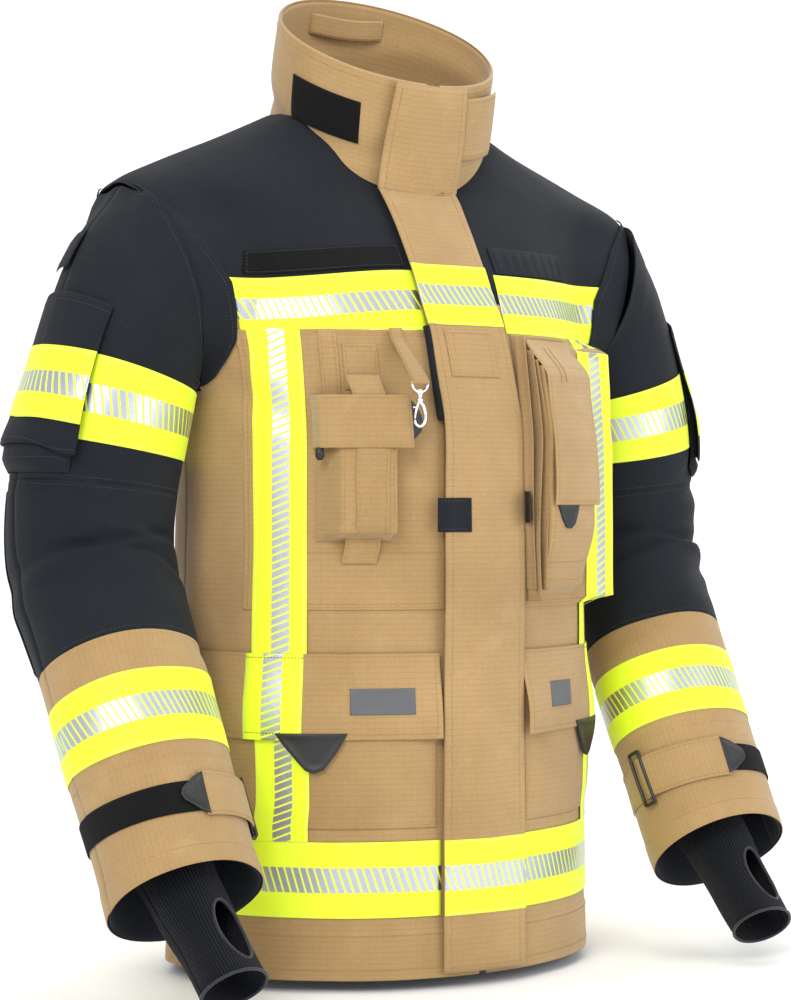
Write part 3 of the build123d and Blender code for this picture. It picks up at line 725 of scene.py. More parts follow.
    def plate(self, outline, place, thick, mat, bevel=0.6):
        """A flat moulded plate: outline in its own plane, place(x, y, height) gives the point."""
        o = np.asarray(outline, float)
        c = o.mean(0)
        gap = np.linalg.norm(np.roll(o, -1, 0) - o, axis=1)
        o = np.vstack([a + (b - a) * t for a, b, g in zip(o, np.roll(o, -1, 0), gap)
                       for t in np.linspace(0, 1, max(1, round(g / 6)), endpoint=False)])
        rings = [(1.0, 0), (1.0, thick - bevel), (0.965, thick - bevel * 0.3), (0.92, thick), (0.80, thick),
                 (0.76, thick * 0.82), (0.4, thick * 0.82)]
        n = len(o)
        v = np.vstack([[place(*(c + (q - c) * k), h) for q in o] for k, h in rings]
                      + [[place(*c, thick * 0.82)], [place(*c, 0)]])
        f = [[r * n + i, r * n + (i + 1) % n, (r + 1) * n + (i + 1) % n, (r + 1) * n + i]
             for r in range(len(rings) - 1) for i in range(n)]
        self.add(v, f, mat, v[:, :2] / 1000)
        last, base = self.n - 2, self.n - len(v)
        self.f.extend([[base + (len(rings) - 1) * n + i, base + (len(rings) - 1) * n + (i + 1) % n, last]
                       for i in range(n)])
        self.f.extend([[base + (i + 1) % n, base + i, last + 1] for i in range(n)])
        self.mi.extend([self.slot(mat)] * (2 * n))

    def done(self, body=None, blend=None, replaces=(), slot=None, held=None, cut_arms=False):
        me = bpy.data.meshes.new(self.name)
        co = np.vstack(self.v) / 1000
        me.from_pydata(co.tolist(), [], self.f)
        for m in self.mats:
            me.materials.append(M[m])
        me.polygons.foreach_set("material_index", self.mi)
        layer = me.uv_layers.new(name="UVMap")
        vi = np.empty(len(me.loops), np.int32)
        me.loops.foreach_get("vertex_index", vi)
        layer.data.foreach_set("uv", np.vstack(self.uv)[vi].astype(np.float32).ravel())
        o = bpy.data.objects.new(self.name, me)
        bpy.context.collection.objects.link(o)
        bm = bmesh.new()
        bm.from_mesh(me)
        if cut_arms:
            for side in (-1, 1):
                near = [f for f in bm.faces
                        if f.calc_center_median().x * side > 0.15 and f.calc_center_median().z > 0.592]
                geom = list({e for f in near for e in f.edges} | {v for f in near for v in f.verts}) + near
                cut_edge = bmesh.ops.bisect_plane(bm, geom=geom,
                                                  plane_co=Vector(ARM_EDGE * arr(side, 1, 1) / 1000),
                                                  plane_no=Vector(ARM_NORMAL * arr(side, 1, 1)),
                                                  clear_outer=True)["geom_cut"]
                bmesh.ops.holes_fill(bm, edges=[e for e in cut_edge
                                                if isinstance(e, bmesh.types.BMEdge) and e.is_boundary],
                                                sides=0)
        bmesh.ops.recalc_face_normals(bm, faces=bm.faces)
        bm.to_mesh(me)
        bm.free()
        me.polygons.foreach_set("use_smooth", [True] * len(me.polygons))
        me.update()
        if held and self.flat:
            w, h, area = self.flat
        if blend:
            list(blend)
            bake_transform(o)
        else:
            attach(o, body or "coat")
        if replaces:
            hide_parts(*replaces)
        return o


TAPE_STITCH = dict(length=1.9, pitch=2.9, radius=0.36)      # millimetres


def tape_uv(along, across, lo, hi, scale=1.0):
    """UVs for a tape: metres along it, 0 to 1 across it."""
    def uv(U, V):
        a, c = (U, V) if along == 0 else (V, U)
        return np.stack([a * scale, (c - lo) / (hi - lo)], -1)
    return uv


# ------------------------------------------------------------------ shell, yokes, liner
SIDE = math.radians(95)
SEAM_Z = 676


def shell_lift(U, V):
    """The turned hem makes the bottom edge thicker."""
    return 1.0 * smooth(50 - V, 0, 4)


for side, tag in ((1, "l"), (-1, "r")):
    p = Piece(f"front_shell_{tag}")
    ph = np.unique(np.concatenate([np.linspace(math.asin(4 / 230), SIDE, 90)]))
    us = ph if side > 0 else -ph[::-1]
    vs = np.concatenate([[0, 0.8, 2.2], np.arange(5, 44, 4), [46, 47.5, 49, 51], np.arange(55, SEAM_Z, 5.0),
                         [SEAM_Z]])
    p.sheet(torso, us, vs, off=-1.4, mat="tan", back="liner", lift=shell_lift)
    for z in (10, 44):
        p.seam(torso, [(us[0], z), (us[-1], z)], 1.2)
    edge = side * math.asin(12 / 230)
    p.seam(torso, [(edge, 6), (edge, 670)], 0.2)
    p.seam(torso, [(side * (SIDE - 0.02), 8), (side * (SIDE - 0.02), 560)], 0.2)
    p.done("coat", replaces=["front_panels"] if side > 0 else (), slot="tan_aramid", held="hung",
           cut_arms=True)

p = Piece("back_shell")
p.sheet(torso, np.linspace(SIDE, 2 * math.pi - SIDE, 110), vs, off=-1.4, mat="tan", back="liner",
        lift=shell_lift)
for z in (10, 44):
    p.seam(torso, [(SIDE, z), (2 * math.pi - SIDE, z)], 1.2)
p.seam(torso, [(SIDE + 0.02, 8), (SIDE + 0.02, 560)], 0.2)
p.done("coat", replaces=["back_panel"], slot="tan_aramid", held="hung", cut_arms=True)

NECK_A, NECK_B, NECK_Y = COLLAR_BASE[:3]


def neck_height(phi):
    """Height at which the torso meets the collar's foot, for each angle."""
    z = np.arange(760, 889, 1.0)
    P = torso(phi[:, None] + 0 * z[None], z[None] + 0 * phi[:, None])
    inside = (P[..., 0] / NECK_A) ** 2 + ((P[..., 1] - NECK_Y) / NECK_B) ** 2 < 1
    first = np.where(inside.any(1), np.argmax(inside, 1), len(z) - 1)
    last = len(z) - 1 - np.argmax(~inside[:, ::-1], 1)
    return z[np.where(np.abs(phi) > 2.4, last, first)]


_phis = np.linspace(-math.pi, math.pi, 361)
_necks = np.convolve(np.pad(neck_height(_phis), 3, mode="wrap"), np.ones(7) / 7, "valid")


def yoke(phi, v):
    """v runs from 0 at the yoke seam to 1 at the collar."""
    top = np.interp((phi + math.pi) % (2 * math.pi) - math.pi, _phis, _necks)
    return torso(phi, SEAM_Z + (top - SEAM_Z) * v)


FRONT_BACK = math.radians(93)
yv = np.concatenate([[0, 0.006], np.linspace(0.02, 1, 92)])
for side, tag in ((1, "l"), (-1, "r")):
    p = Piece(f"yoke_front_{tag}")
    ph = np.linspace(0.02, FRONT_BACK, 110) * side
    p.sheet(yoke, ph[::side], yv, off=-1.4, mat="black", back="liner")
    p.done("coat", replaces=["yoke_fronts"] if side > 0 else (), slot="black_aramid", held="hung",
           cut_arms=True)
p = Piece("yoke_back")
p.sheet(yoke, np.linspace(FRONT_BACK, 2 * math.pi - FRONT_BACK, 190), yv, off=-1.4, mat="black",
        back="liner")
p.done("coat", replaces=["yoke_back"], slot="black_aramid", held="hung", cut_arms=True)

SEAM_X = ((586, 600, 634, 691, 748, 775, 792), (232, 223, 217, 225, 263, 289, 306))
_scan = np.radians(np.arange(20, 92, 1.0))


def seam_angle(z, back):
    """Angle at which the armhole seam crosses height z on the front, or on the back."""
    scan = math.pi - _scan if back else _scan
    z = np.atleast_1d(z)
    want = np.interp(z, *SEAM_X)
    return np.array([np.interp(w, torso(scan, zz + 0 * scan)[:, 0], scan) for w, zz in zip(want, z)])


HEAD_Z = np.linspace(590, 796, 60)
for back in (False, True):
    edge_at = seam_angle(HEAD_Z, back)

    def head(u, z, side=1):
        a0 = np.interp(z, HEAD_Z, edge_at)
        p = torso(a0 + u * (math.pi / 2 + (0.06 if not back else -0.06) - a0), z)
        return p * arr(side, 1, 1)

    for side, tag in ((1, "left"), (-1, "right")):
        surf = lambda u, z, side=side: head(u, z, side)
        p = Piece(f"sleeve_head_{'back' if back else 'front'}_{tag}")
        fl = (side < 0) != back
        p.sheet(surf, np.concatenate([[0, 0.006], np.linspace(0.02, 1, 46)]), HEAD_Z, off=1.6, thick=1.4,
                mat="black", flip=fl)
        p.seam(surf, [(0.03, 600), (0.03, 790)], 3.0, "dark_thread", flip=fl)
        p.done("coat", slot="black_aramid", cut_arms=True)

p = Piece("liner")


def quilt(U, V):
    return (-9.5 + 1.4 * np.abs(np.sin((U * 210 + V) * math.pi / 75))
            * np.abs(np.sin((U * 210 - V) * math.pi / 75)))


p.sheet(torso, np.linspace(0.11, 2 * math.pi - 0.11, 260), np.arange(34, 592, 6.0), off=0, thick=1.6,
        mat="liner", lift=quilt)
p.done("coat", replaces=["thermal_liner"], slot="liner", held="hung")


# ------------------------------------------------------------------ body tapes
def body_tape(name, z0, z1, phi0, phi1, off, mat="tape", replaces=(), lift=None, surface=torso):
    p = Piece(name)
    p.sheet(surface, np.linspace(phi0, phi1, max(12, int(abs(phi1 - phi0) * 60))), spans(z0, z1, 8),
            off=off, thick=0.9,
            mat=mat, uv=tape_uv(0, 1, z0, z1, 0.21), lift=lift)
    for z in (z0 + 2.4, z1 - 2.4):
        p.seam(surface, [(phi0 + 0.01, z), (phi1 - 0.01, z)], off + 0.95, "pale_thread", length=1.9,
               pitch=2.9, radius=0.36, lift=lift)
    return p.done("coat", replaces=replaces, slot="reflective_tape", held="stretched")


CHEST_Z, HEM_Z = (645, 707), (62, 137)
a0, a1 = float(phi_of(50, 676)), float(phi_of(-48, 676))
_zs = np.linspace(CHEST_Z[0] - 4, CHEST_Z[1] + 4, 40)
for name, turn, start, back in (("chest_tape_l", 1, a0, False), ("chest_tape_r", -1, -a1, False),
                                ("chest_tape_back_l", 1, math.pi, True),
                                ("chest_tape_back_r", -1, math.pi, True)):
    ends = seam_angle(_zs, back) + (0.012 if not back else -0.012)

    def part(u, z):
        """u runs from the middle of the coat to the armhole seam."""
        return sagging(turn * (start + u * (np.interp(z, _zs, ends) - start)), z)

    p = Piece(name)
    reach = abs(float(ends.mean()) - start)
    fl = (turn < 0) != back
    p.sheet(part, np.linspace(0, 1, int(reach * 60)), spans(*CHEST_Z, 8), off=0.3, thick=0.9, mat="tape",
            flip=fl,
            uv=lambda U, V: np.stack([U * reach * 0.21 * turn * (-1 if back else 1),
                                      (V - CHEST_Z[0]) / (CHEST_Z[1] - CHEST_Z[0])], -1))
    for z in (CHEST_Z[0] + 2.4, CHEST_Z[1] - 2.4):
        p.seam(part, [(0.01, z), (0.99, z)], 1.25, "pale_thread", length=1.9, pitch=2.9, radius=0.36,
               flip=fl)
    p.done("coat", replaces=["chest_tape"] if name == "chest_tape_l" else (), slot="reflective_tape",
           held="stretched")
a0, a1 = float(phi_of(50, 100)), float(phi_of(-48, 100))
body_tape("hem_tape", *HEM_Z, a0, 2 * math.pi + a1, 1.0, replaces=["hem_tape"])


def strip_tape(p, surface, x0, x1, z0, z1, off, mat="tape_back", stitch=True, lift=None):
    """A vertical tape on the front, from x0 to x1."""
    p.sheet(surface, spans(x0, x1, 7), spans(z0, z1, 8), off=off, thick=0.9, mat=mat,
            uv=tape_uv(1, 0, x0, x1, 0.001), lift=lift)
    if stitch:
        for x in (x0 + 2, x1 - 2):
            p.seam(surface, [(x, z0 + 2), (x, z1 - 2)], off + 0.95, "pale_thread", length=1.9, pitch=2.9,
                   radius=0.36, lift=lift)


TAPE_X = (170, 207)
PX, PZ = (52, 226), (150, 318)
BAG = (float(phi_of(PX[0], 250)), math.radians(86))


def bag_puff(U, V):
    """How far the lower pocket stands off, by angle and height."""
    return (3.0 * smooth(U, BAG[0], BAG[0] + 0.1) * smooth(BAG[1] - U, 0, 0.1)
            * smooth(V, PZ[0], PZ[0] + 26) * smooth(PZ[1] - V, 0, 40))


def bag_rise(U, V):
    return bag_puff(phi_of(np.abs(U), V), V)


def left_panel(U, V):
    """The outer part of the left chest panel stands off the shell."""
    wall = np.clip((U - 139) / 68, 0, 1) * smooth(212 - U, 0, 5)
    return LEFT_PANEL * wall * smooth(V, 366, 374) * smooth(645 - V, 0, 14)


LEFT_PANEL = 32.0
for side, tag in ((1, "l"), (-1, "r")):
    x0, x1 = (TAPE_X[0], TAPE_X[1]) if side > 0 else (-TAPE_X[1], -TAPE_X[0])
    lifted = left_panel if side > 0 else None
    for n, (z0, z1, off, lift) in enumerate(((137, 262, 1.9, bag_rise), (318, 646, 2.1, lifted))):
        if side > 0 and n:
            x0 = TAPE_X[0] - 10
        p = Piece(f"vertical_tape_{tag}{n}")
        strip_tape(p, front, x0, x1, z0, z1, off, "tape_back", lift=lift)
        p.done("coat", replaces=["vertical_tapes"] if side > 0 and n else (), slot="reflective_tape",
               held="stretched")


# ------------------------------------------------------------------ chest panels and seams
def patch(name, surface, x0, x1, z0, z1, off, thick=1.3, mat="tan", inset=3.0, rows=1, thread="thread",
          body="coat", blend=None,
          replaces=(), slot=None, lift=None, held="stretched", step=5, extra=None, sides="lrbt"):
    p = Piece(name)
    p.sheet(surface, spans(x0, x1, step), spans(z0, z1, step), off=off, thick=thick, mat=mat, lift=lift)
    for r in range(rows):
        i = inset + 3.2 * r
        q = {"l": [(x0 + i, z0 + i), (x0 + i, z1 - i)], "r": [(x1 - i, z0 + i), (x1 - i, z1 - i)],
             "b": [(x0 + i, z0 + i), (x1 - i, z0 + i)], "t": [(x0 + i, z1 - i), (x1 - i, z1 - i)]}
        for e in sides:
            p.seam(surface, q[e], off + thick, thread, lift=lift)
    if extra:
        extra(p)
    return p.done(body, blend=blend, replaces=replaces, slot=slot, held=held)


def seams_on_panel(p):
    p.seam(front, [(-203, 423), (-46, 423)], 1.9)


patch("chest_panel_r", front, -212, -43, 366, 645, 0.4, rows=2, replaces=["chest_panels"],
      slot="tan_aramid", extra=seams_on_panel)
patch("chest_panel_l", front, 54, 212, 366, 645, 0.4, rows=2, slot="tan_aramid", lift=left_panel, step=4)

# ------------------------------------------------------------------ radio pocket, strap, loops
RX, RZ, RH = (-163, -97), (434, 566), 23.0


def mound(x0, x1, z0, z1, h, wall=7, bottom=7, top=0):
    def lift(U, V):
        e = smooth(U, x0, x0 + wall) * smooth(-U, -x1, -x1 + wall) * smooth(V, z0, z0 + bottom)
        if top:
            e = e * smooth(-V, -z1, -z1 + top)
        pleat = (1 + 0.05 * np.sin(V / 9.0)
                 * (1 - smooth(np.abs(U - (x0 + x1) / 2), 0, (x1 - x0) / 2 - wall)))
        return h * e * pleat
    return lift


radio_lift = mound(*RX, *RZ, RH, wall=9, bottom=10)
p = Piece("radio_pocket")
us = np.unique(np.concatenate([np.linspace(RX[0], RX[0] + 11, 9), np.linspace(RX[1] - 11, RX[1], 9),
                               spans(*RX, 5)]))
p.sheet(front, us, np.unique(np.concatenate([spans(*RZ, 5), np.linspace(RZ[0], RZ[0] + 12, 9)])), off=1.9,
        thick=1.5, mat="tan", lift=radio_lift)
for x in (RX[0] + 11, RX[1] - 11):
    p.seam(front, [(x, RZ[0] + 12), (x, RZ[1])], 3.4, lift=radio_lift)
p.done("coat", replaces=["radio_pocket"], slot="tan_aramid", held="stretched")

p = Piece("radio_centre_strap")
p.sheet(front, spans(-143, -113, 5), spans(436, 552, 5), off=3.4, thick=1.4, mat="tan", lift=radio_lift)
for x in (-140, -116):
    p.seam(front, [(x, 440), (x, 550)], 4.8, lift=radio_lift)
p.done("coat", replaces=["chest_straps"], slot="tan_aramid", held="stretched")

# the strap wraps from the pocket's left foot over the front
_path = arr(0, 14, 26, 34, 100, 112)
_x = arr(-165, -169, -172, -166, -101, -90)
_off = arr(3.0, 15, 26.5, 28.5, 28.6, 27.0)


def band_surface(u, z):
    """u runs from 0 at the sewn foot to 1 at the free end."""
    l = u * _path[-1]
    return front(np.interp(l, _path, _x), z, np.interp(l, _path, _off))


fold_at = 0.24
p = Piece("radio_strap")
bu = np.unique(np.concatenate([np.linspace(0, 1, 40), np.linspace(0.15, 0.35, 16)]))
p.sheet(band_surface, bu, spans(526, 578, 5), off=0, thick=1.6, mat="tan")
for z in (529, 575):
    p.seam(band_surface, [(0.30, z), (0.97, z)], 1.6)
p.seam(band_surface, [(0.97, 529), (0.97, 575)], 1.6)
hinge_r = at("radio_band_hinge") / 1000
blend_r = ("coat", "radio_band", tuple(hinge_r + arr(0, 0.004, 0)), tuple(hinge_r + arr(0.004, -0.016, 0)))
p.done(blend=blend_r, replaces=["radio_band"], slot="tan_aramid", held="folded")

grip = Piece("radio_grip")


def on_band(x, z, h):
    return front(arr(x), arr(z), arr(np.interp(x, (-96, -74), (26, 15)) + h))[0]


grip.plate([(-96, 574), (-88, 574), (-80, 567), (-75, 558), (-74, 551), (-77, 543), (-84, 537), (-90, 533),
            (-96, 531)], on_band, 2.6, "rubber")
grip.done("radio_band", slot="moulded_rubber")

patch("loop_patch", front, -136, -104, 584, 630, 1.9, rows=1, slot="tan_aramid")
patch("left_strap", front, -156, -140, 560, 645, 2.0, inset=2.6, slot="tan_aramid", sides="lr")
patch("top_tab", front, -142, -112, 574, 598, 16, inset=2.4, slot="tan_aramid", lift=lambda U,
      V: 9 * smooth(V, 598, 574), sides="lrt")
patch("bottom_loop", front, -143, -112, 412, 440, 2.6, inset=2.6, slot="tan_aramid", lift=lambda U,
      V: 6 * smooth(V, 412, 432), sides="lrb")
strap_eye = Piece("strap_eye")
e0 = np.array([band_surface(arr(fold_at), arr(z))[0] for z in (514, 518, 522, 526)])
strap_eye.tube(e0 + arr(0, 3, 0), [2.5, 4.6, 4.6, 3.6], "rubber", 12)
strap_eye.done("coat", slot="moulded_rubber")

# ------------------------------------------------------------------ hanging strap, ring, hook
ring_at, hook_at = at("ring_swing"), at("hook_swivel")


def hang(u, v):
    """u is across the strap, v from 0 at the tape to 1 at the ring."""
    x0, x1 = -97 + 4 * (1 - v), -76 - 1 * (1 - v)
    y = np.interp(v, [0, 0.15, 0.6, 0.93, 1], [-157, -163, -188, -204.5, -205.5])
    z = np.interp(v, [0, 0.15, 0.6, 0.93, 1], [646, 634, 610, 592.5, 588.6])
    return np.stack([x0 + (x1 - x0) * u, y, z], -1)


p = Piece("hanging_strap")
p.sheet(hang, np.linspace(0, 1, 7), np.linspace(0, 1, 24), off=0, thick=1.6, mat="tan", flip=True)
for u in (0.12, 0.88):
    p.seam(hang, [(u, 0.03), (u, 0.93)], 1.7, flip=True)
p.done("coat", slot="tan_aramid", held="hung")

p = Piece("half_ring")
a = np.linspace(math.pi, 2 * math.pi, 22)
arc = np.stack([ring_at[0] + 9.5 * np.cos(a), 0 * a + ring_at[1], ring_at[2] + 9.5 * np.sin(a)], -1)
bar = np.stack([np.linspace(ring_at[0] + 9.5, ring_at[0] - 9.5, 10)[1:-1], np.full(8, ring_at[1]),
                np.full(8, ring_at[2])], -1)
p.tube(np.vstack([arc, bar]), 1.25, "chrome", 10, closed=True)
p.done("ring", replaces=["d_ring"], slot="chrome")

p = Piece("snap_hook")
hx, hy, hz = hook_at[0], hook_at[1], hook_at[2]
for r, lo, hi in (([1.6, 2.6, 2.6, 1.8], 2.2, -1.8), ([2.2, 3.2, 3.2, 1.6], -2.0, -7.5)):
    p.tube([(hx, hy, hz + lo + (hi - lo) * k) for k in (0, 0.25, 0.75, 1)], r, "chrome", 14)
eye = np.linspace(0, 2 * math.pi, 22, endpoint=False)
p.tube(np.stack([hx + 2.6 * np.cos(eye), hy + 0 * eye, hz + 3.6 + 2.6 * np.sin(eye)], -1), 0.8, "chrome", 8,
       closed=True)
claw = catmull(np.array([(hx + 0.4, hz - 6.5), (hx + 3.8, hz - 10), (hx + 6.2, hz - 18),
                         (hx + 5.2, hz - 26), (hx + 0.2, hz - 30), (hx - 4.8, hz - 27.5),
                         (hx - 6.0, hz - 23.5)]), 7)
p.tube(np.stack([claw[:, 0], 0 * claw[:, 0] + hy, claw[:, 1]], -1),
       np.interp(np.linspace(0, 1, len(claw)), [0, 0.4, 1], [2.1, 1.9, 1.2]), "chrome", 12)
p.done("hook", replaces=["snap_hook"], slot="chrome")
p = Piece("hook_gate")
p.tube([(hx - 1.6, hy, hz - 6.5), (hx - 3.4, hy, hz - 11), (hx - 5.2, hy, hz - 17),
        (hx - 6.0, hy, hz - 22.5)], [1.5, 1.2, 1.1, 1.0], "chrome", 10)
p.tube([(hx - 4.2, hy, hz - 12), (hx - 6.6, hy - 0.6, hz - 11.2), (hx - 8.4, hy - 0.8, hz - 11.4)],
       [0.9, 1.0, 0.8], "chrome", 8)
p.done("gate", replaces=["hook_gate"], slot="chrome")

# ------------------------------------------------------------------ hook-and-loop strips, loops
patch("name_strip", sagging_front, -204, -56, 711, 735, 0.4, thick=1.9, mat="fuzz", inset=2.0,
      thread="dark_thread", slot="hook_and_loop")


def mic_seams(p):
    for x in range(72, 166, 15):
        p.seam(front, [(x, 711), (x, 737)], 2.1, "dark_thread")


patch("mic_strip", front, 56, 172, 709, 738, 0.5, thick=1.6, mat="black", inset=2.4, thread="dark_thread",
      slot="hook_and_loop",
      extra=mic_seams, sides="lr", lift=lambda U, V: 2.2 * np.abs(np.sin((U
              - 57) * math.pi / 15)) * np.sin(np.clip((V - 709) / 29, 0, 1) * math.pi))


def ridge(side):
    """A strip across the shoulder: u along it towards the neck, v across it from front to back."""
    def f(u, v):
        x = 276 - u * 58
        y = -16 + v * 26
        hi, lo = np.full(np.broadcast(x, y).shape, 890.0), np.full(np.broadcast(x, y).shape, 740.0)
        for _ in range(14):
            mid = (hi + lo) / 2
            inside = torso_distance(np.stack([x + 0 * y, y + 0 * x, mid], -1)) < 0
            lo, hi = np.where(inside, mid, lo), np.where(inside, hi, mid)
        return np.stack([side * (x + 0 * y), y + 0 * x, lo], -1)
    return f


for side, tag in ((1, "l"), (-1, "r")):
    p = Piece(f"shoulder_loop_{tag}")
    hump = lambda U, V: 4.5 * np.sin(np.clip(U, 0, 1) * math.pi) ** 0.6
    p.sheet(ridge(side), np.linspace(0, 1, 22), np.linspace(0, 1, 9), off=1.0, thick=1.8, mat="black",
            lift=hump, flip=side < 0)
    for u in (0.05, 0.12, 0.88, 0.95):
        p.seam(ridge(side), [(u, 0.1), (u, 0.9)], 3.2, "dark_thread", lift=hump, flip=side < 0)
    p.done("coat", replaces=["shoulder_loops"] if side > 0 else (), slot="black_aramid", held="stretched")

# ------------------------------------------------------------------ storm flap
FX = (-47.0, 50.0)
_zs = np.concatenate([np.arange(4, 760, 6.0), np.linspace(764, 904, 28)])


FLAP_LEAN = ((560, 690, 790, 900), (0, 10, 9, 4), (0, 0.08, 0.04, 0.14))


def flap_base(x, v):
    """The front line of the coat from hem to collar rim: v is the height at the middle."""
    x = x - np.interp(v, *FLAP_LEAN[:2]) - x * np.interp(v, FLAP_LEAN[0], FLAP_LEAN[2])
    below = front(x, np.minimum(v, 792))
    h = np.clip((v - 792) / 112.0, 0, 1.0)
    phi = np.arcsin(np.clip(x / (118 + 7 * h), -0.95, 0.95))
    above = collar(phi, h)
    w = smooth(v, 735, 850)[..., None]
    return below * (1 - w) + above * w


def flap_lift(U, V):
    lift = 1.6 * np.exp(-((U + 43) / 7) ** 2) * smooth(V, 120, 300) + waves(U * 0.8, V, 61, 0.8, 90, 240)
    lift += 4.0 * smooth(-U, 20, 47) * smooth(V, 250, 420) * smooth(700 - V, 0, 160)
    lift += 3.2 * np.exp(-(U / 17) ** 2) * smooth(V, 60, 140) * smooth(600 - V, 0, 120)
    lift += 1.4 * np.exp(-((V - 830 + 1.1 * U) / 12) ** 2) * smooth(U, -30, 20)
    return lift


FLAP_BLEND = ("coat", "storm_flap", (0, -0.19, 0.62), (0, -0.19, 0.47))
p = Piece("storm_flap")
fu = spans(*FX, 5)
p.sheet(flap_base, fu, _zs, off=5.2, thick=2.8, mat="tan", lift=flap_lift)
for x in (FX[0] + 8, FX[1] - 8):
    p.seam(flap_base, [(x, 8), (x, 300), (x, 600), (x, 780), (x, 900)], 8.0, lift=flap_lift)
p.seam(flap_base, [(FX[0] + 8, 10), (FX[1] - 3, 10)], 8.0, lift=flap_lift)
p.done(blend=FLAP_BLEND, replaces=["storm_flap_lower", "storm_flap_upper"], slot="tan_aramid", held="hung")


def flap_tape(name, z0, z1, replaces=()):
    p = Piece(name)
    p.sheet(flap_base, spans(FX[0] + 0.3, FX[1] - 0.3, 6), spans(z0, z1, 7), off=8.0, thick=0.9, mat="tape",
            lift=flap_lift,
            uv=tape_uv(0, 1, z0, z1, 0.001))
    for z in (z0 + 2.4, z1 - 2.4):
        p.seam(flap_base, [(FX[0] + 2, z), (FX[1] - 2, z)], 8.95, "pale_thread", lift=flap_lift,
               **TAPE_STITCH)
    p.done(blend=FLAP_BLEND, replaces=replaces, slot="reflective_tape", held="stretched")


flap_tape("flap_chest_tape", CHEST_Z[0] + 3, CHEST_Z[1] + 3)
flap_tape("flap_hem_tape", *HEM_Z, replaces=["hem_tape_flap"])
p = Piece("flap_patch")
p.sheet(flap_base, spans(-30, 29, 5), spans(597, 643, 5), off=8.0, thick=1.5, mat="tan", lift=flap_lift)
for i in (3,):
    for q in ([(-30 + i, 600), (-30 + i, 640)], [(29 - i, 600), (29 - i, 640)],
              [(24 - i, 600), (24 - i, 640)], [(-24 + i, 600), (-24 + i, 640)], [(-27, 600), (26, 600)],
              [(-27, 640), (26, 640)]):
        p.seam(flap_base, q, 9.5, lift=flap_lift)
p.done("coat", slot="tan_aramid", held="stretched")
p = Piece("flap_piping")
zz = np.linspace(553, 646, 16)
line = flap_base(0 * zz - 48.5, zz)
nn = unit(np.cross(flap_base(0 * zz - 47.5, zz) - line, flap_base(0 * zz - 48.5, zz + 1) - line))
p.tube(line + nn * 7.4, np.interp(np.linspace(0, 1, 16), [0, 0.06, 1], [3.0, 3.9, 3.6]), "black", 12)
p.done("coat", replaces=["flap_piping"], slot="black_aramid")
p = Piece("flap_pull_tab")
p.sheet(flap_base, spans(-55, -18, 4), spans(443, 477, 4), off=8.3, thick=1.6, mat="black", lift=flap_lift)
for z in (446, 474):
    p.seam(flap_base, [(-52, z), (-21, z)], 9.9, "dark_thread", lift=flap_lift)
p.done("storm_flap", replaces=["flap_pull_tab"], slot="black_aramid", held="stretched")

# ------------------------------------------------------------------ tall chest pocket on the left
CX, CZ, CH = (62, 150), (378, 612), 30.0
chest_lift0 = mound(*CX, *CZ, CH, wall=8, bottom=12)


def chest_lift(U, V):
    return (chest_lift0(U, V) * (0.45 + 0.55 * smooth(V, CZ[0], 450)) + 1.2 * np.sin(V / 17.0)
            * smooth(U, CX[0], CX[0] + 12))


p = Piece("chest_pocket")
us = np.unique(np.concatenate([spans(*CX, 6), np.linspace(CX[0], CX[0] + 11, 11),
                               np.linspace(CX[1] - 10, CX[1], 8)]))
p.sheet(front, us, np.unique(np.concatenate([spans(*CZ, 6), np.linspace(CZ[0], CZ[0] + 14, 8)])), off=1.9,
        thick=1.6, mat="tan", lift=chest_lift)
p.seam(front, [(CX[0] + 12, CZ[0] + 14), (CX[0] + 12, CZ[1])], 3.6, lift=chest_lift)
for z in (CZ[0] + 15, CZ[0] + 34):
    p.seam(front, [(CX[0] + 12, z), (CX[1] - 10, z)], 3.6, lift=chest_lift)
p.done("coat", replaces=["chest_pocket_left"], slot="tan_aramid", held="stretched")


def pleat_surface(x_at, off0, off1, seed):
    """An upright fold of cloth that stands out from the coat beside the flap."""
    def f(u, z):
        x = x_at + 5.0 * np.sin(u * 2.6) + 2.4 * np.sin(z / 47.0 + seed)
        off = off0 + (off1 - off0) * u
        return front(x, z, off)
    return f


for k, (x_at, top, tall, z0, z1) in enumerate(((53.5, 3, 20, 384, 643), (58.5, 3, 27, 372, 628),
                                               (64.0, 6, 31, 384, 618))):
    f = pleat_surface(x_at, top, tall, 1.7 * k)
    p = Piece(f"pleat_{k}")
    p.sheet(f, np.linspace(0, 1, 12), spans(z0, z1, 6), off=0, thick=1.8, mat="tan")
    p.seam(f, [(0.86, z0 + 4), (0.86, z1 - 4)], 1.9)
    p.done("coat", slot="tan_aramid", held="folded")

LX, LZ = (70, 149), (470, 640)


def lid_lift(U, V):
    return (4 + 29.5 * smooth(LZ[1] - V, 0, 40) + 3.0 * smooth(LZ[0] + 60 - V, 0, 60) + 2.0
            * smooth(LX[0] + 12 - U, 0, 12) + 1.2 * np.sin(V / 19.0))


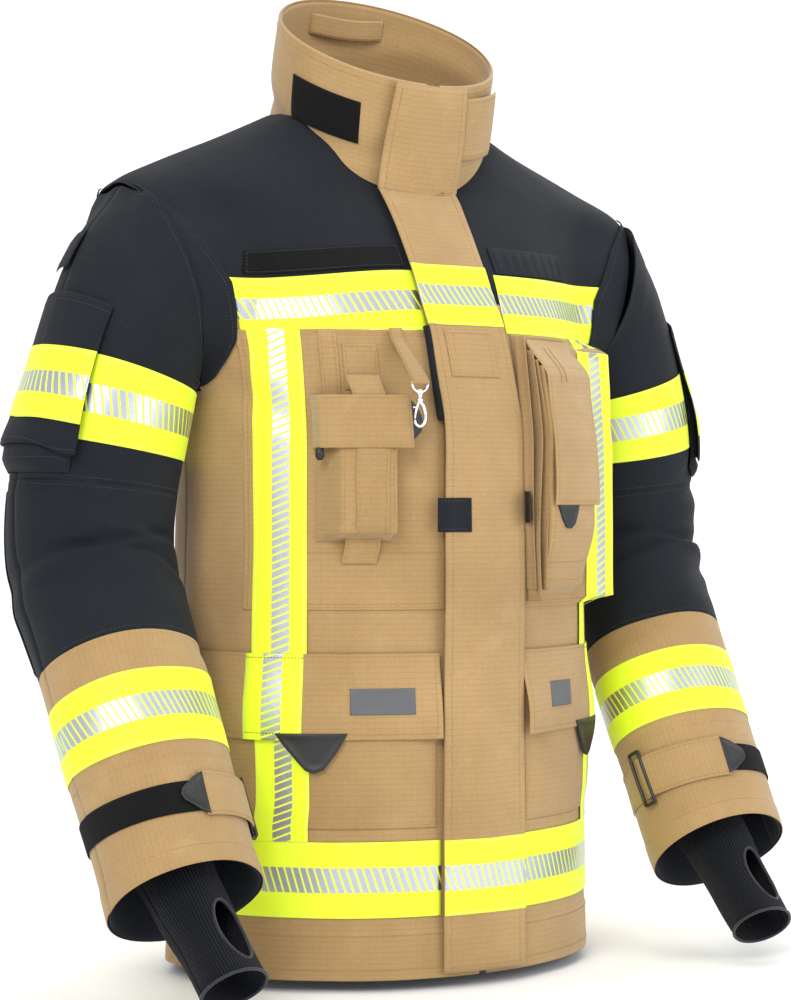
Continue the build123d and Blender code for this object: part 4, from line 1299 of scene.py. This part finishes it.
CHEST_BLEND = ("coat", "chest_flap", (0.107, -0.19, 0.636), (0.107, -0.2, 0.575))
p = Piece("chest_lid")
p.sheet(front, spans(*LX, 5), np.unique(np.concatenate([spans(*LZ, 5),
                                                        np.linspace(LZ[1] - 44, LZ[1], 20)])), off=0,
                                                        thick=1.8, mat="tan", lift=lid_lift)
for x in (LX[0] + 4, LX[1] - 4):
    p.seam(front, [(x, LZ[0] + 4), (x, LZ[1] - 8)], 1.8, lift=lid_lift)
p.seam(front, [(LX[0] + 4, LZ[0] + 4), (LX[1] - 4, LZ[0] + 4)], 1.8, lift=lid_lift)
for x in (92, 100):
    p.seam(front, [(x, 596), (x + 3, 632)], 2.4, lift=lid_lift, radius=0.7)
p.done(blend=CHEST_BLEND, replaces=["chest_flap_left"], slot="tan_aramid", held="hung")


def on_front(off):
    def place(x, z, h):
        return front(arr(x), arr(z), arr(off + h))[0]
    return place


p = Piece("chest_grip")
p.plate([(76, 473), (110, 473), (107, 462), (103, 451), (97, 446), (90, 447), (83, 456)], on_front(34.5),
        2.6, "rubber")
p.done("chest_flap", replaces=["chest_grip_left"], slot="moulded_rubber")
p = Piece("pleat_pull")
q = pleat_surface(50.5, 3, 20, 0.0)
p.sheet(q, np.linspace(0.35, 1.45, 8), spans(452, 484, 4), off=1.9, thick=2.0, mat="rubber")
p.done("coat", slot="moulded_rubber")

# ------------------------------------------------------------------ lower pockets
for side, tag in ((1, "left"), (-1, "right")):
    def surf(u, z, side=side):
        return torso(side * u, z)
    (p0, p1), f_lift = BAG, bag_puff
    p = Piece(f"pocket_bag_{tag}")
    p.sheet(surf, np.linspace(p0, p1, 60), spans(*PZ, 6), off=0.4, thick=1.3, mat="tan", lift=f_lift,
            flip=side < 0)
    for q in ([(p0 + 0.02, PZ[0] + 3), (p0 + 0.02, PZ[1] - 2)],
              [(p1 - 0.02, PZ[0] + 3), (p1 - 0.02, PZ[1] - 2)],
              [(p0 + 0.02, PZ[0] + 3), (p1 - 0.02, PZ[0] + 3)],
              [(p0, PZ[1] - 3), (p1, PZ[1] - 3)]):
        p.seam(surf, q, 1.7, lift=f_lift, flip=side < 0)
    p.done("coat", replaces=["lower_pockets"] if side > 0 else (), slot="tan_aramid", held="stretched")

    f0, f1 = float(phi_of(49, 270)), math.radians(90)
    fz = (238, 323)
    opened = 7.0 if side > 0 else 1.5
    def flap_rise(U, V, f0=f0, f1=f1, opened=opened, side=side):
        down = smooth(fz[1] - V, 0, 70)
        return (2.2 + 5.2 * down + 1.6 * np.sin(U * 7 + 1) * down + opened * smooth(f0 + 0.25 - U, 0, 0.25)
                * down)
    FB = ("coat", f"pocket_flap_{tag}", (0, 0, 0.318), (0, 0, 0.272))
    p = Piece(f"pocket_flap_{tag}")
    fu = np.concatenate([[f0, f0 + 0.004], np.linspace(f0 + 0.02, f1 - 0.02, 52), [f1 - 0.004, f1]])
    p.sheet(surf, fu, spans(*fz, 5), off=0, thick=1.8, mat="tan", lift=flap_rise, flip=side < 0)
    for q in ([(f0 + 0.025, fz[0] + 5), (f0 + 0.025, fz[1] - 3)],
              [(f1 - 0.025, fz[0] + 5), (f1 - 0.025, fz[1] - 3)],
              [(f0 + 0.025, fz[0] + 5), (f1 - 0.025, fz[0] + 5)],
              [(f0, fz[1] - 3), (f1, fz[1] - 3)]):
        p.seam(surf, q, 1.8, lift=flap_rise, flip=side < 0)
    p.done(blend=FB, replaces=[f"pocket_flap_{tag}"], slot="tan_aramid", held="hung")
    t0, t1 = float(phi_of(TAPE_X[0], 280)), float(phi_of(TAPE_X[1], 280))
    p = Piece(f"flap_tape_{tag}")
    p.sheet(surf, np.linspace(t0, t1, 10), spans(*fz, 6), off=1.8, thick=0.8, mat="tape_back",
            lift=flap_rise, flip=side < 0,
            uv=tape_uv(1, 0, t0, t1, 0.001) if side > 0 else tape_uv(1, 0, t1, t0, 0.001))
    for x in (t0 + 0.012, t1 - 0.012):
        p.seam(surf, [(x, fz[0] + 2), (x, fz[1] - 2)], 2.65, "pale_thread", lift=flap_rise, flip=side < 0,
               **TAPE_STITCH)
    for z in (fz[0] + 7, fz[1] - 4):
        p.seam(surf, [(t0, z), (t1, z)], 2.65, "dark_thread", lift=flap_rise, flip=side < 0)
    p.done(blend=FB, slot="reflective_tape", held="stretched")

    def on_flap(x, z, h, side=side):
        # x is measured from the middle of the coat
        ph = float(phi_of(x, z))
        uu, vv = arr(ph), arr(z)
        q = surf(uu, vv)[0]
        n = unit(np.cross(surf(uu + 0.01, vv) - q, surf(uu, vv + 1) - q))[0] * side
        return q + n * (float(flap_rise(uu, vv)[0]) + 1.2 + h)

    p = Piece(f"pocket_grip_{tag}")
    p.plate([(136, 245), (188, 245), (184, 236), (176, 222), (168, 209), (162, 206), (155, 209), (146, 224),
             (140, 236)][::side], on_flap, 2.6, "rubber")
    p.done(f"pocket_flap_{tag}", replaces=[f"pocket_grip_{tag}"], slot="moulded_rubber")
    p = Piece(f"badge_{tag}")
    bx = (76, 134) if side < 0 else (89, 126)
    p.plate([(bx[0], 263), (bx[1], 263), (bx[1], 289), (bx[0], 289)][::side], on_flap, 1.9, "badge")
    p.done(blend=FB, slot="moulded_rubber")

# ------------------------------------------------------------------ collar
p = Piece("collar")
cu = np.linspace(-math.pi, math.pi, 201)
cu = np.concatenate([cu[cu > 0.035], cu[1:][cu[1:] < -0.035] + 2 * math.pi])
hs = np.concatenate([np.linspace(-0.03, 0.97, 34), [0.985, 1.0]])
U, V = np.meshgrid(cu, hs, indexing="ij")
outer = collar(U, V)
n_out = normals(outer)
thick = 4.6
inner_rows = np.concatenate([[1.0, 0.985], np.linspace(0.97, -0.03, 34)])
U2, V2 = np.meshgrid(cu, inner_rows, indexing="ij")
inner = collar(U2, V2)
n_in = -normals(inner)
inner = inner - n_in * (thick * np.minimum(1, (1.0 - V2) / 0.012 * 0.5 + 0.3))[..., None]
crown = collar(cu[:, None] + 0 * arr(0, 0, 0)[None], 1.0 + 0 * arr(0, 0, 0)[None] + 0 * cu[:, None])
crown_n = normals(outer)[:, -1:]
crown = (crown - crown_n * arr(0.9, 2.3, 3.6)[None, :, None] + arr(0, 0, 1)
         * arr(1.1, 1.7, 1.1)[None, :, None])


def strip(p, pts, mat):
    n, m = pts.shape[:2]
    idx = np.arange(n * m).reshape(n, m)
    q = np.stack([idx[:-1, :-1], idx[1:, :-1], idx[1:, 1:], idx[:-1, 1:]], -1).reshape(-1, 4)
    su = np.concatenate([[0], np.cumsum(np.linalg.norm(np.diff(pts, axis=0), axis=-1).mean(1))])
    sv = np.concatenate([[0], np.cumsum(np.linalg.norm(np.diff(pts, axis=1), axis=-1).mean(0))])
    p.add(pts, q, mat, np.stack(np.meshgrid(su / 1000, sv / 1000, indexing="ij"), -1))


strip(p, np.concatenate([outer, crown, inner], 1), "tan")
for h in (0.94, 0.05):
    p.seam(collar, [(0.05, h), (2 * math.pi - 0.05, h)], 0.2)
p.seam(collar, [(2.35, 0.5), (2.9, 0.5)], 0.2)
p.done("coat", replaces=["collar_shell", "collar_lining"], slot="tan_aramid")

p = Piece("collar_hook_patch")
p.sheet(collar, np.linspace(-1.36, -0.64, 24), np.linspace(0.37, 0.73, 14), off=0.6, thick=1.8, mat="fuzz")
p.done("coat", replaces=["hook_strips"], slot="hook_and_loop", held="stretched")

TH = math.asin(38 / 121)
THROAT = ("coat", "throat_tab", (0.0485, -0.085, 0.86), (0.062, -0.085, 0.86))
throat_lift = lambda U, V: 3.0 + 2.4 * smooth(U, TH, TH + 0.25)
p = Piece("throat_tab")
p.sheet(collar, np.linspace(TH, 0.86, 22), np.linspace(0.34, 0.90, 18), off=0, thick=2.6, mat="tan",
        lift=throat_lift)
for q in ([(TH + 0.03, 0.38), (TH + 0.03, 0.87)], [(0.83, 0.38), (0.83, 0.87)],
          [(TH + 0.03, 0.38), (0.83, 0.38)], [(TH + 0.03, 0.87), (0.83, 0.87)]):
    p.seam(collar, q, 2.6, lift=throat_lift)
p.done(blend=THROAT, replaces=["throat_tab"], slot="tan_aramid", held="stretched")

p = Piece("hanger_loop")


def hanger(u, v):
    x = -46 + 92 * u
    slack = 11 * np.sin(np.clip(u, 0, 1) * math.pi) ** 0.4
    z = 979 + 22 * v - 4 * np.sin(u * math.pi)
    y = 79.5 - (z - 979) * 0.22 - (x / 46) ** 2 * 3 - slack - 1
    return np.stack([x, y, z], -1)


p.sheet(hanger, np.linspace(0, 1, 40), np.linspace(0, 1, 8), off=0, thick=1.6, mat="tan")
for v in (0.12, 0.88):
    p.seam(hanger, [(0.02, v), (0.98, v)], 1.7)
p.done("coat", replaces=["hanger_loop"], slot="tan_aramid", held="hung")

# ------------------------------------------------------------------ sleeves
S_TAPE = (arm_s_at(603), arm_s_at(528))
S_SPLIT, S_SEAM = arm_s_at(487), arm_s_at(415) + 115
S_END = arm_s_at(105)
S_FTAPE = (arm_s_at(415) + 155, arm_s_at(415) + 230)
ELBOW_DIR = unit(arr(0, -0.26, -0.966))


def arm_mirror(v, side):
    return tuple(arr(*v) * arr(side, 1, 1) / 1000)


def s_outer(z):
    """Distance down the sleeve at which its outer face is at height z."""
    s = np.arange(0, 400, 2.0)
    return float(np.interp(-z, -sleeve(1)(s, 0 * s)[:, 2], s))


def cuff_end(arm):
    """The sleeve surface, with a cuff that reaches lower behind than in front."""
    def surface(s, psi):
        return arm(s + (9 - 15 * np.sin(psi)) * smooth(s, S_END - 45, S_END), psi)
    return surface


for side, tag in ((1, "left"), (-1, "right")):
    arm = sleeve(side)
    cuff = cuff_end(arm)
    flip = side > 0
    CAP = ("coat", f"arm_{tag}", arm_mirror(ARM_EDGE, side), arm_mirror(ARM_EDGE + ARM_NORMAL * 46, side))
    BEND = (f"arm_{tag}", f"forearm_{tag}", arm_mirror(ELBOW - ELBOW_DIR * 45, side),
            arm_mirror(ELBOW + ELBOW_DIR * 45, side))
    ring = np.radians(np.arange(0, 360.1, 4.0))

    def band(name, s0, s1, mat, off, thick, blend=None, body=None, replaces=(), slot=None, psi=ring,
             stitch=(), thread="thread",
             uv=None, lift=None, held="stretched", step=5, back=None, arm=arm):
        p = Piece(name)
        p.sheet(arm, spans(s0, s1, step), psi, off=off, thick=thick, mat=mat, flip=flip, uv=uv, lift=lift,
                back=back)
        for s in stitch:
            kw = TAPE_STITCH if thread == "pale_thread" else {}
            p.seam(arm, [(s, psi[0]), (s, psi[-1])], off + thick, thread, flip=flip, lift=lift, **kw)
        return p, p.done(body, blend=blend, replaces=replaces, slot=slot, held=held)

    band(f"sleeve_cap_{tag}", 0, S_SPLIT, "black", -1.4, 1.4, CAP, replaces=[f"upper_sleeve_{tag}"],
         slot="black_aramid",
         stitch=(4, S_SPLIT - 4), thread="dark_thread", held="hung", back="liner")
    band(f"sleeve_elbow_{tag}", S_SPLIT, S_SEAM, "black", -1.4, 1.4, BEND,
         replaces=[f"forearm_sleeve_{tag}"], slot="black_aramid",
         stitch=(S_SPLIT + 4, S_SEAM - 4), thread="dark_thread", held="hung", back="liner")
    cuff_lift = lambda U, V: 1.2 * smooth(U, S_END - 22, S_END - 19) + 2.0 * np.sin(2 * V + 0.5) * smooth(U,
            S_END - 90, S_END)
    band(f"cuff_sleeve_{tag}", S_SEAM, S_END, "tan", -1.4, 1.4, body=f"forearm_{tag}",
         replaces=[f"cuff_sleeve_{tag}"], slot="tan_aramid",
         stitch=(S_SEAM + 4, S_END - 20, S_FTAPE[1] + 14), lift=cuff_lift, held="hung", back="liner",
         arm=cuff)

    uv_ring = lambda lo, hi: (lambda U, V: np.stack([-V * 0.084 * 1.0, (hi - U) / (hi - lo)], -1)
                              if side > 0 else np.stack([V * 0.084, (hi - U) / (hi - lo)], -1))
    arm_psi = np.radians(np.arange(46, 322.1, 4.0))
    band(f"arm_tape_{tag}", *S_TAPE, "tape", 0.2, 0.9, CAP, replaces=[f"arm_tape_{tag}"],
         slot="reflective_tape", psi=arm_psi,
         stitch=(S_TAPE[0] + 2.4, S_TAPE[1] - 2.4), thread="pale_thread", uv=uv_ring(*S_TAPE))
    band(f"forearm_tape_{tag}", *S_FTAPE, "tape", 0.2, 0.9, body=f"forearm_{tag}",
         replaces=[f"forearm_tape_{tag}"], slot="reflective_tape",
         stitch=(S_FTAPE[0] + 2.4, S_FTAPE[1] - 2.4), thread="pale_thread", uv=uv_ring(*S_FTAPE),
         lift=cuff_lift)

    tab_psi = np.radians(np.arange(-22, 2.1, 3.0))
    band(f"sleeve_tab_{tag}", s_outer(744), s_outer(706), "black", 0.6, 1.6, CAP, slot="black_aramid",
         psi=tab_psi,
         stitch=(s_outer(744) + 4, s_outer(706) - 4), thread="dark_thread", lift=lambda U,
         V: 3.0 * np.sin(math.pi * np.clip((U - s_outer(744)) / 38, 0, 1)))

    # elbow patch on the back of the arm
    patch_psi = np.radians(np.arange(206, 334.1, 4.0))
    band(f"elbow_patch_{tag}", S_SPLIT + 10, S_SEAM - 14, "black", 0.3, 1.8, BEND, slot="black_aramid",
         psi=patch_psi,
         stitch=(S_SPLIT + 14, S_SEAM - 18), thread="dark_thread")

    # pocket and lid on the outer face
    pk = np.radians(np.arange(-40, 47.1, 3.0))
    s_p = (s_outer(672), s_outer(503))
    def pocket_lift(U, V, s_p=s_p, pk=pk):
        e = smooth(V, pk[0], pk[0] + 0.13) * smooth(pk[-1] - V, 0, 0.13)
        return 1.2 + 6.5 * e * smooth(s_p[1] - U, 0, 10) * smooth(U, s_p[0] + 10, s_p[0] + 80)
    band(f"sleeve_pocket_{tag}", *s_p, "black", 0.2, 1.4, body=f"arm_{tag}",
         replaces=[f"sleeve_pocket_{tag}"], slot="black_aramid", psi=pk,
         stitch=(s_p[1] - 12,), thread="dark_thread", lift=pocket_lift, held="stretched")
    s_l = (s_outer(682), s_outer(527))
    lk = np.radians(np.arange(-44, 52.1, 3.0))
    def lid_rise(U, V, s_l=s_l, lk=lk):
        down = smooth(U, s_l[0], s_l[0] + 105)
        return 2.2 + 8.5 * down + 1.5 * down * smooth(V, 0.5, 0.9) + 1.2 * np.sin(U / 21 + V * 3) * down
    LID = (f"arm_{tag}", f"sleeve_flap_{tag}", arm_mirror((370, 12, 682), side),
           arm_mirror((384, 12, 640), side))
    band(f"sleeve_lid_{tag}", *s_l, "black", 0.2, 1.8, LID, replaces=[f"sleeve_flap_{tag}"],
         slot="black_aramid", psi=lk,
         stitch=(s_l[0] + 4, s_l[1] - 4), thread="dark_thread", lift=lid_rise, held="hung")
    s_t = (s_outer(628), s_outer(556))
    band(f"lid_tape_{tag}", *s_t, "tape", 2.1, 0.8, LID, slot="reflective_tape", psi=lk,
         stitch=(s_t[0] + 2.4, s_t[1] - 2.4),
         thread="pale_thread", lift=lid_rise, uv=uv_ring(*s_t))

    # cuff: hook-and-loop band, strap through its loop, grip
    c0, c1 = arm_s_at(415) + 262, arm_s_at(415) + 306
    band(f"cuff_hook_band_{tag}", c0 + 9, c1 - 5, "fuzz", 0.6, 1.5, body=f"forearm_{tag}",
         replaces=[f"cuff_band_{tag}"], slot="hook_and_loop",
         psi=np.radians(np.arange(-70, 112.1, 4.0)), lift=cuff_lift)
    band(f"cuff_under_strap_{tag}", c0, c1, "tan", 0.4, 1.3, body=f"forearm_{tag}", slot="tan_aramid",
         psi=np.radians(np.arange(172, 216.1, 4.0)),
         stitch=(c0 + 3, c1 - 3), lift=cuff_lift)
    ts = np.radians(np.arange(98, 173.1, 3.0))
    tab_lift = lambda U, V: 2.4 + 1.8 * smooth(V, math.radians(150),
                                               math.radians(172)) + 2.0 * np.sin(2 * V + 0.5)
    hinge = at(f"cuff_tab_{tag}_hinge") / 1000
    TAB = (f"forearm_{tag}", f"cuff_tab_{tag}", tuple(hinge + arr(-side * 0.002, 0, 0)),
           tuple(hinge + arr(side * 0.014, 0, 0)))
    p, _ = band(f"cuff_tab_{tag}", c0, c1, "tan", 0.4, 2.2, TAB, replaces=[f"cuff_tab_{tag}"],
                slot="tan_aramid", psi=ts,
                stitch=(c0 + 3.5, c1 - 3.5), lift=tab_lift)

    def on_cuff(a, s, h, arm=arm, tab_lift=tab_lift, side=side):
        uu, vv = arr(s), arr(math.radians(a))
        q = arm(uu, vv)[0]
        n = unit(np.cross(arm(uu + 1, vv) - q, arm(uu, vv + 0.01) - q))[0]
        n = n * (-1 if side > 0 else 1)
        return q + n * (2.2 + 0.4 + float(tab_lift(uu, vv)[0]) - 1.4 + h)

    p = Piece(f"cuff_grip_{tag}")
    m = (c0 + c1) / 2
    p.plate([(101, c0 + 1), (92, c0 + 6), (80, m - 6), (78, m), (80, m + 6), (92, c1 - 6),
             (101, c1 - 1)][::-side], on_cuff, 2.4, "rubber")
    p.done(f"cuff_tab_{tag}", slot="moulded_rubber")
    p = Piece(f"cuff_loop_{tag}")
    corners = [(176, c0 - 7), (176, c1 + 7), (168, c1 + 7), (168, c0 - 7)]
    pts = []
    for (a0_, s0_), (a1_, s1_) in zip(corners, corners[1:] + corners[:1]):
        for t in np.linspace(0, 1, 8, endpoint=False):
            pts.append(on_cuff(a0_ + (a1_ - a0_) * t, s0_ + (s1_ - s0_) * t, 1.0))
    p.tube(pts, 2.0, "plastic", 10, closed=True, up=(side, 0.2, 0))
    p.done(f"forearm_{tag}", replaces=[f"cuff_loop_{tag}"], slot="black_plastic")

    # cuff facing, seen inside the opening
    p = Piece(f"cuff_facing_{tag}")
    p.sheet(cuff, spans(S_END - 60, S_END - 1, 6), ring, off=-4.2, thick=1.6, mat="liner", flip=flip,
            lift=cuff_lift)
    p.done(f"forearm_{tag}", slot="liner", held="stretched")

    # wristlet with a bound thumb hole
    C, W = arr(326, -163, 105), arr(318, -246, 27)
    wd = unit(W - C)
    wx = unit(arr(1, 0, 0) - wd * wd[0])
    wy = np.cross(wx, wd)          # towards the palm
    wy = wy if wy[1] < 0 else -wy
    length = np.linalg.norm(W - C)

    def wrist(l, a, side=side):
        w = np.interp(l, [-50, 0, 60, length], [42, 38, 34.5, 33.5])
        d = np.interp(l, [-50, 0, 60, length], [38, 34, 30, 28])
        w, d = w * (1 + 0.02 * np.sin(l / 14 + 2 * a)), d * (1 + 0.03 * np.sin(l / 17 + a))
        p = C + wd * l[..., None] + wx * (w * np.cos(a))[..., None] + wy * (d * np.sin(a))[..., None]
        return p * arr(side, 1, 1)

    hole_l, hole_a, hl, ha = 68.0, math.radians(76 if side > 0 else 108), 33.0, 0.42
    L = np.linspace(-50, length, 64)
    A = np.linspace(0, 2 * math.pi, 121)
    U, V = np.meshgrid(L, A, indexing="ij")
    keep = ((U - hole_l) / hl) ** 2 + ((V - hole_a) / ha) ** 2 > 1
    p = Piece(f"wristlet_{tag}")
    pts = wrist(U, V)
    p.slab(pts, normals(pts, flip), 1.8, "knit", np.stack([V * 0.04, U / 1000], -1), keep=keep)
    rim = np.linspace(0, 2 * math.pi, 48, endpoint=False)
    p.tube(wrist(hole_l + (hl + 1) * np.cos(rim), hole_a + (ha + 0.03) * np.sin(rim)), 1.5, "bind", 8,
           closed=True)
    p.tube(wrist(np.full(60, length), np.linspace(0, 2 * math.pi, 60, endpoint=False)), 1.5, "bind", 8,
           closed=True, up=(0, 0.7, 0.7))
    p.done(f"forearm_{tag}", replaces=[f"wristlet_{tag}"], slot="knit", held="stretched")

# ------------------------------------------------------------------ CAD pieces that stay
for node in ("zip_chain", "zip_slider_lower", "zip_slider_upper"):
    o = frame["nodes"][node] if isinstance(frame["nodes"], dict) else bpy.data.objects[node]
    o = bpy.data.objects.get(node) or o
    o.data.materials.clear()
    o.data.materials.append(M["brass"])

# ------------------------------------------------------------------ floor, light, camera
floor = Net("floor")
floor.set(Roughness=0.95)
floor.bsdf.inputs["Specular IOR Level"].default_value = 0.05
me = bpy.data.meshes.new("floor")
prof = ([(-3.0, 0.0)]
        + [(2.2 + 0.9 * math.sin(a), 0.9 - 0.9 * math.cos(a)) for a in np.linspace(0, math.pi / 2, 14)]
        + [(3.1, 4.2)])
ca, sa = math.cos(math.radians(-33)), math.sin(math.radians(-33))
vs_ = [(ca * x - sa * y, sa * x + ca * y, z - 0.012) for x in (-6, 6) for y, z in prof]
k = len(prof)
me.from_pydata(vs_, [], [(i, i + k, i + k + 1, i + 1) for i in range(k - 1)])
me.materials.append(floor.out(floor.mix(floor.noise(3, 2), (0.90, 0.90, 0.905), (0.93, 0.93, 0.93))))
o = bpy.data.objects.new("floor", me)
bpy.context.collection.objects.link(o)
for poly in me.polygons:
    poly.use_smooth = True


def light(name, place, target, size, power, colour=(1, 1, 1)):
    d = bpy.data.lights.new(name, "AREA")
    d.shape, d.size, d.size_y, d.energy, d.color = "RECTANGLE", size[0], size[1], power, colour
    o = bpy.data.objects.new(name, d)
    o.location = place
    o.rotation_euler = (Vector(target) - Vector(place)).to_track_quat("-Z", "Y").to_euler()
    bpy.context.collection.objects.link(o)


light("key", (-2.6, -2.2, 2.4), (0, 0, 0.55), (1.8, 1.8), 75, (1, 0.985, 0.96))
light("fill", (1.6, -3.0, 1.2), (0, 0, 0.5), (2.2, 2.0), 42, (0.97, 0.985, 1))
light("top", (0, 0.2, 3.2), (0, 0, 0.5), (2.6, 2.6), 38)
light("rim", (2.6, 1.2, 1.9), (0, 0, 0.6), (1.2, 1.8), 26)
world = bpy.data.worlds.new("studio")
world.use_nodes = True
world.node_tree.nodes["Background"].inputs[0].default_value = (1, 1, 1, 1)
world.node_tree.nodes["Background"].inputs[1].default_value = 0.75
bpy.context.scene.world = world
bpy.context.scene.view_settings.view_transform = "Standard"

cam_data = bpy.data.cameras.new("camera")
cam = bpy.data.objects.new("camera", cam_data)
bpy.context.collection.objects.link(cam)
DIST, EYE = 2.70, 0.475
cam.location = (0.015 * ca + DIST * sa, 0.015 * sa - DIST * ca, EYE)
cam.rotation_euler = (math.radians(90), 0, math.radians(-33))
cam_data.sensor_fit = "VERTICAL"
cam_data.sensor_height = 36
cam_data.lens = 36 * 2532.8 / 1000
cam_data.clip_end = 60
bpy.context.scene.camera = cam
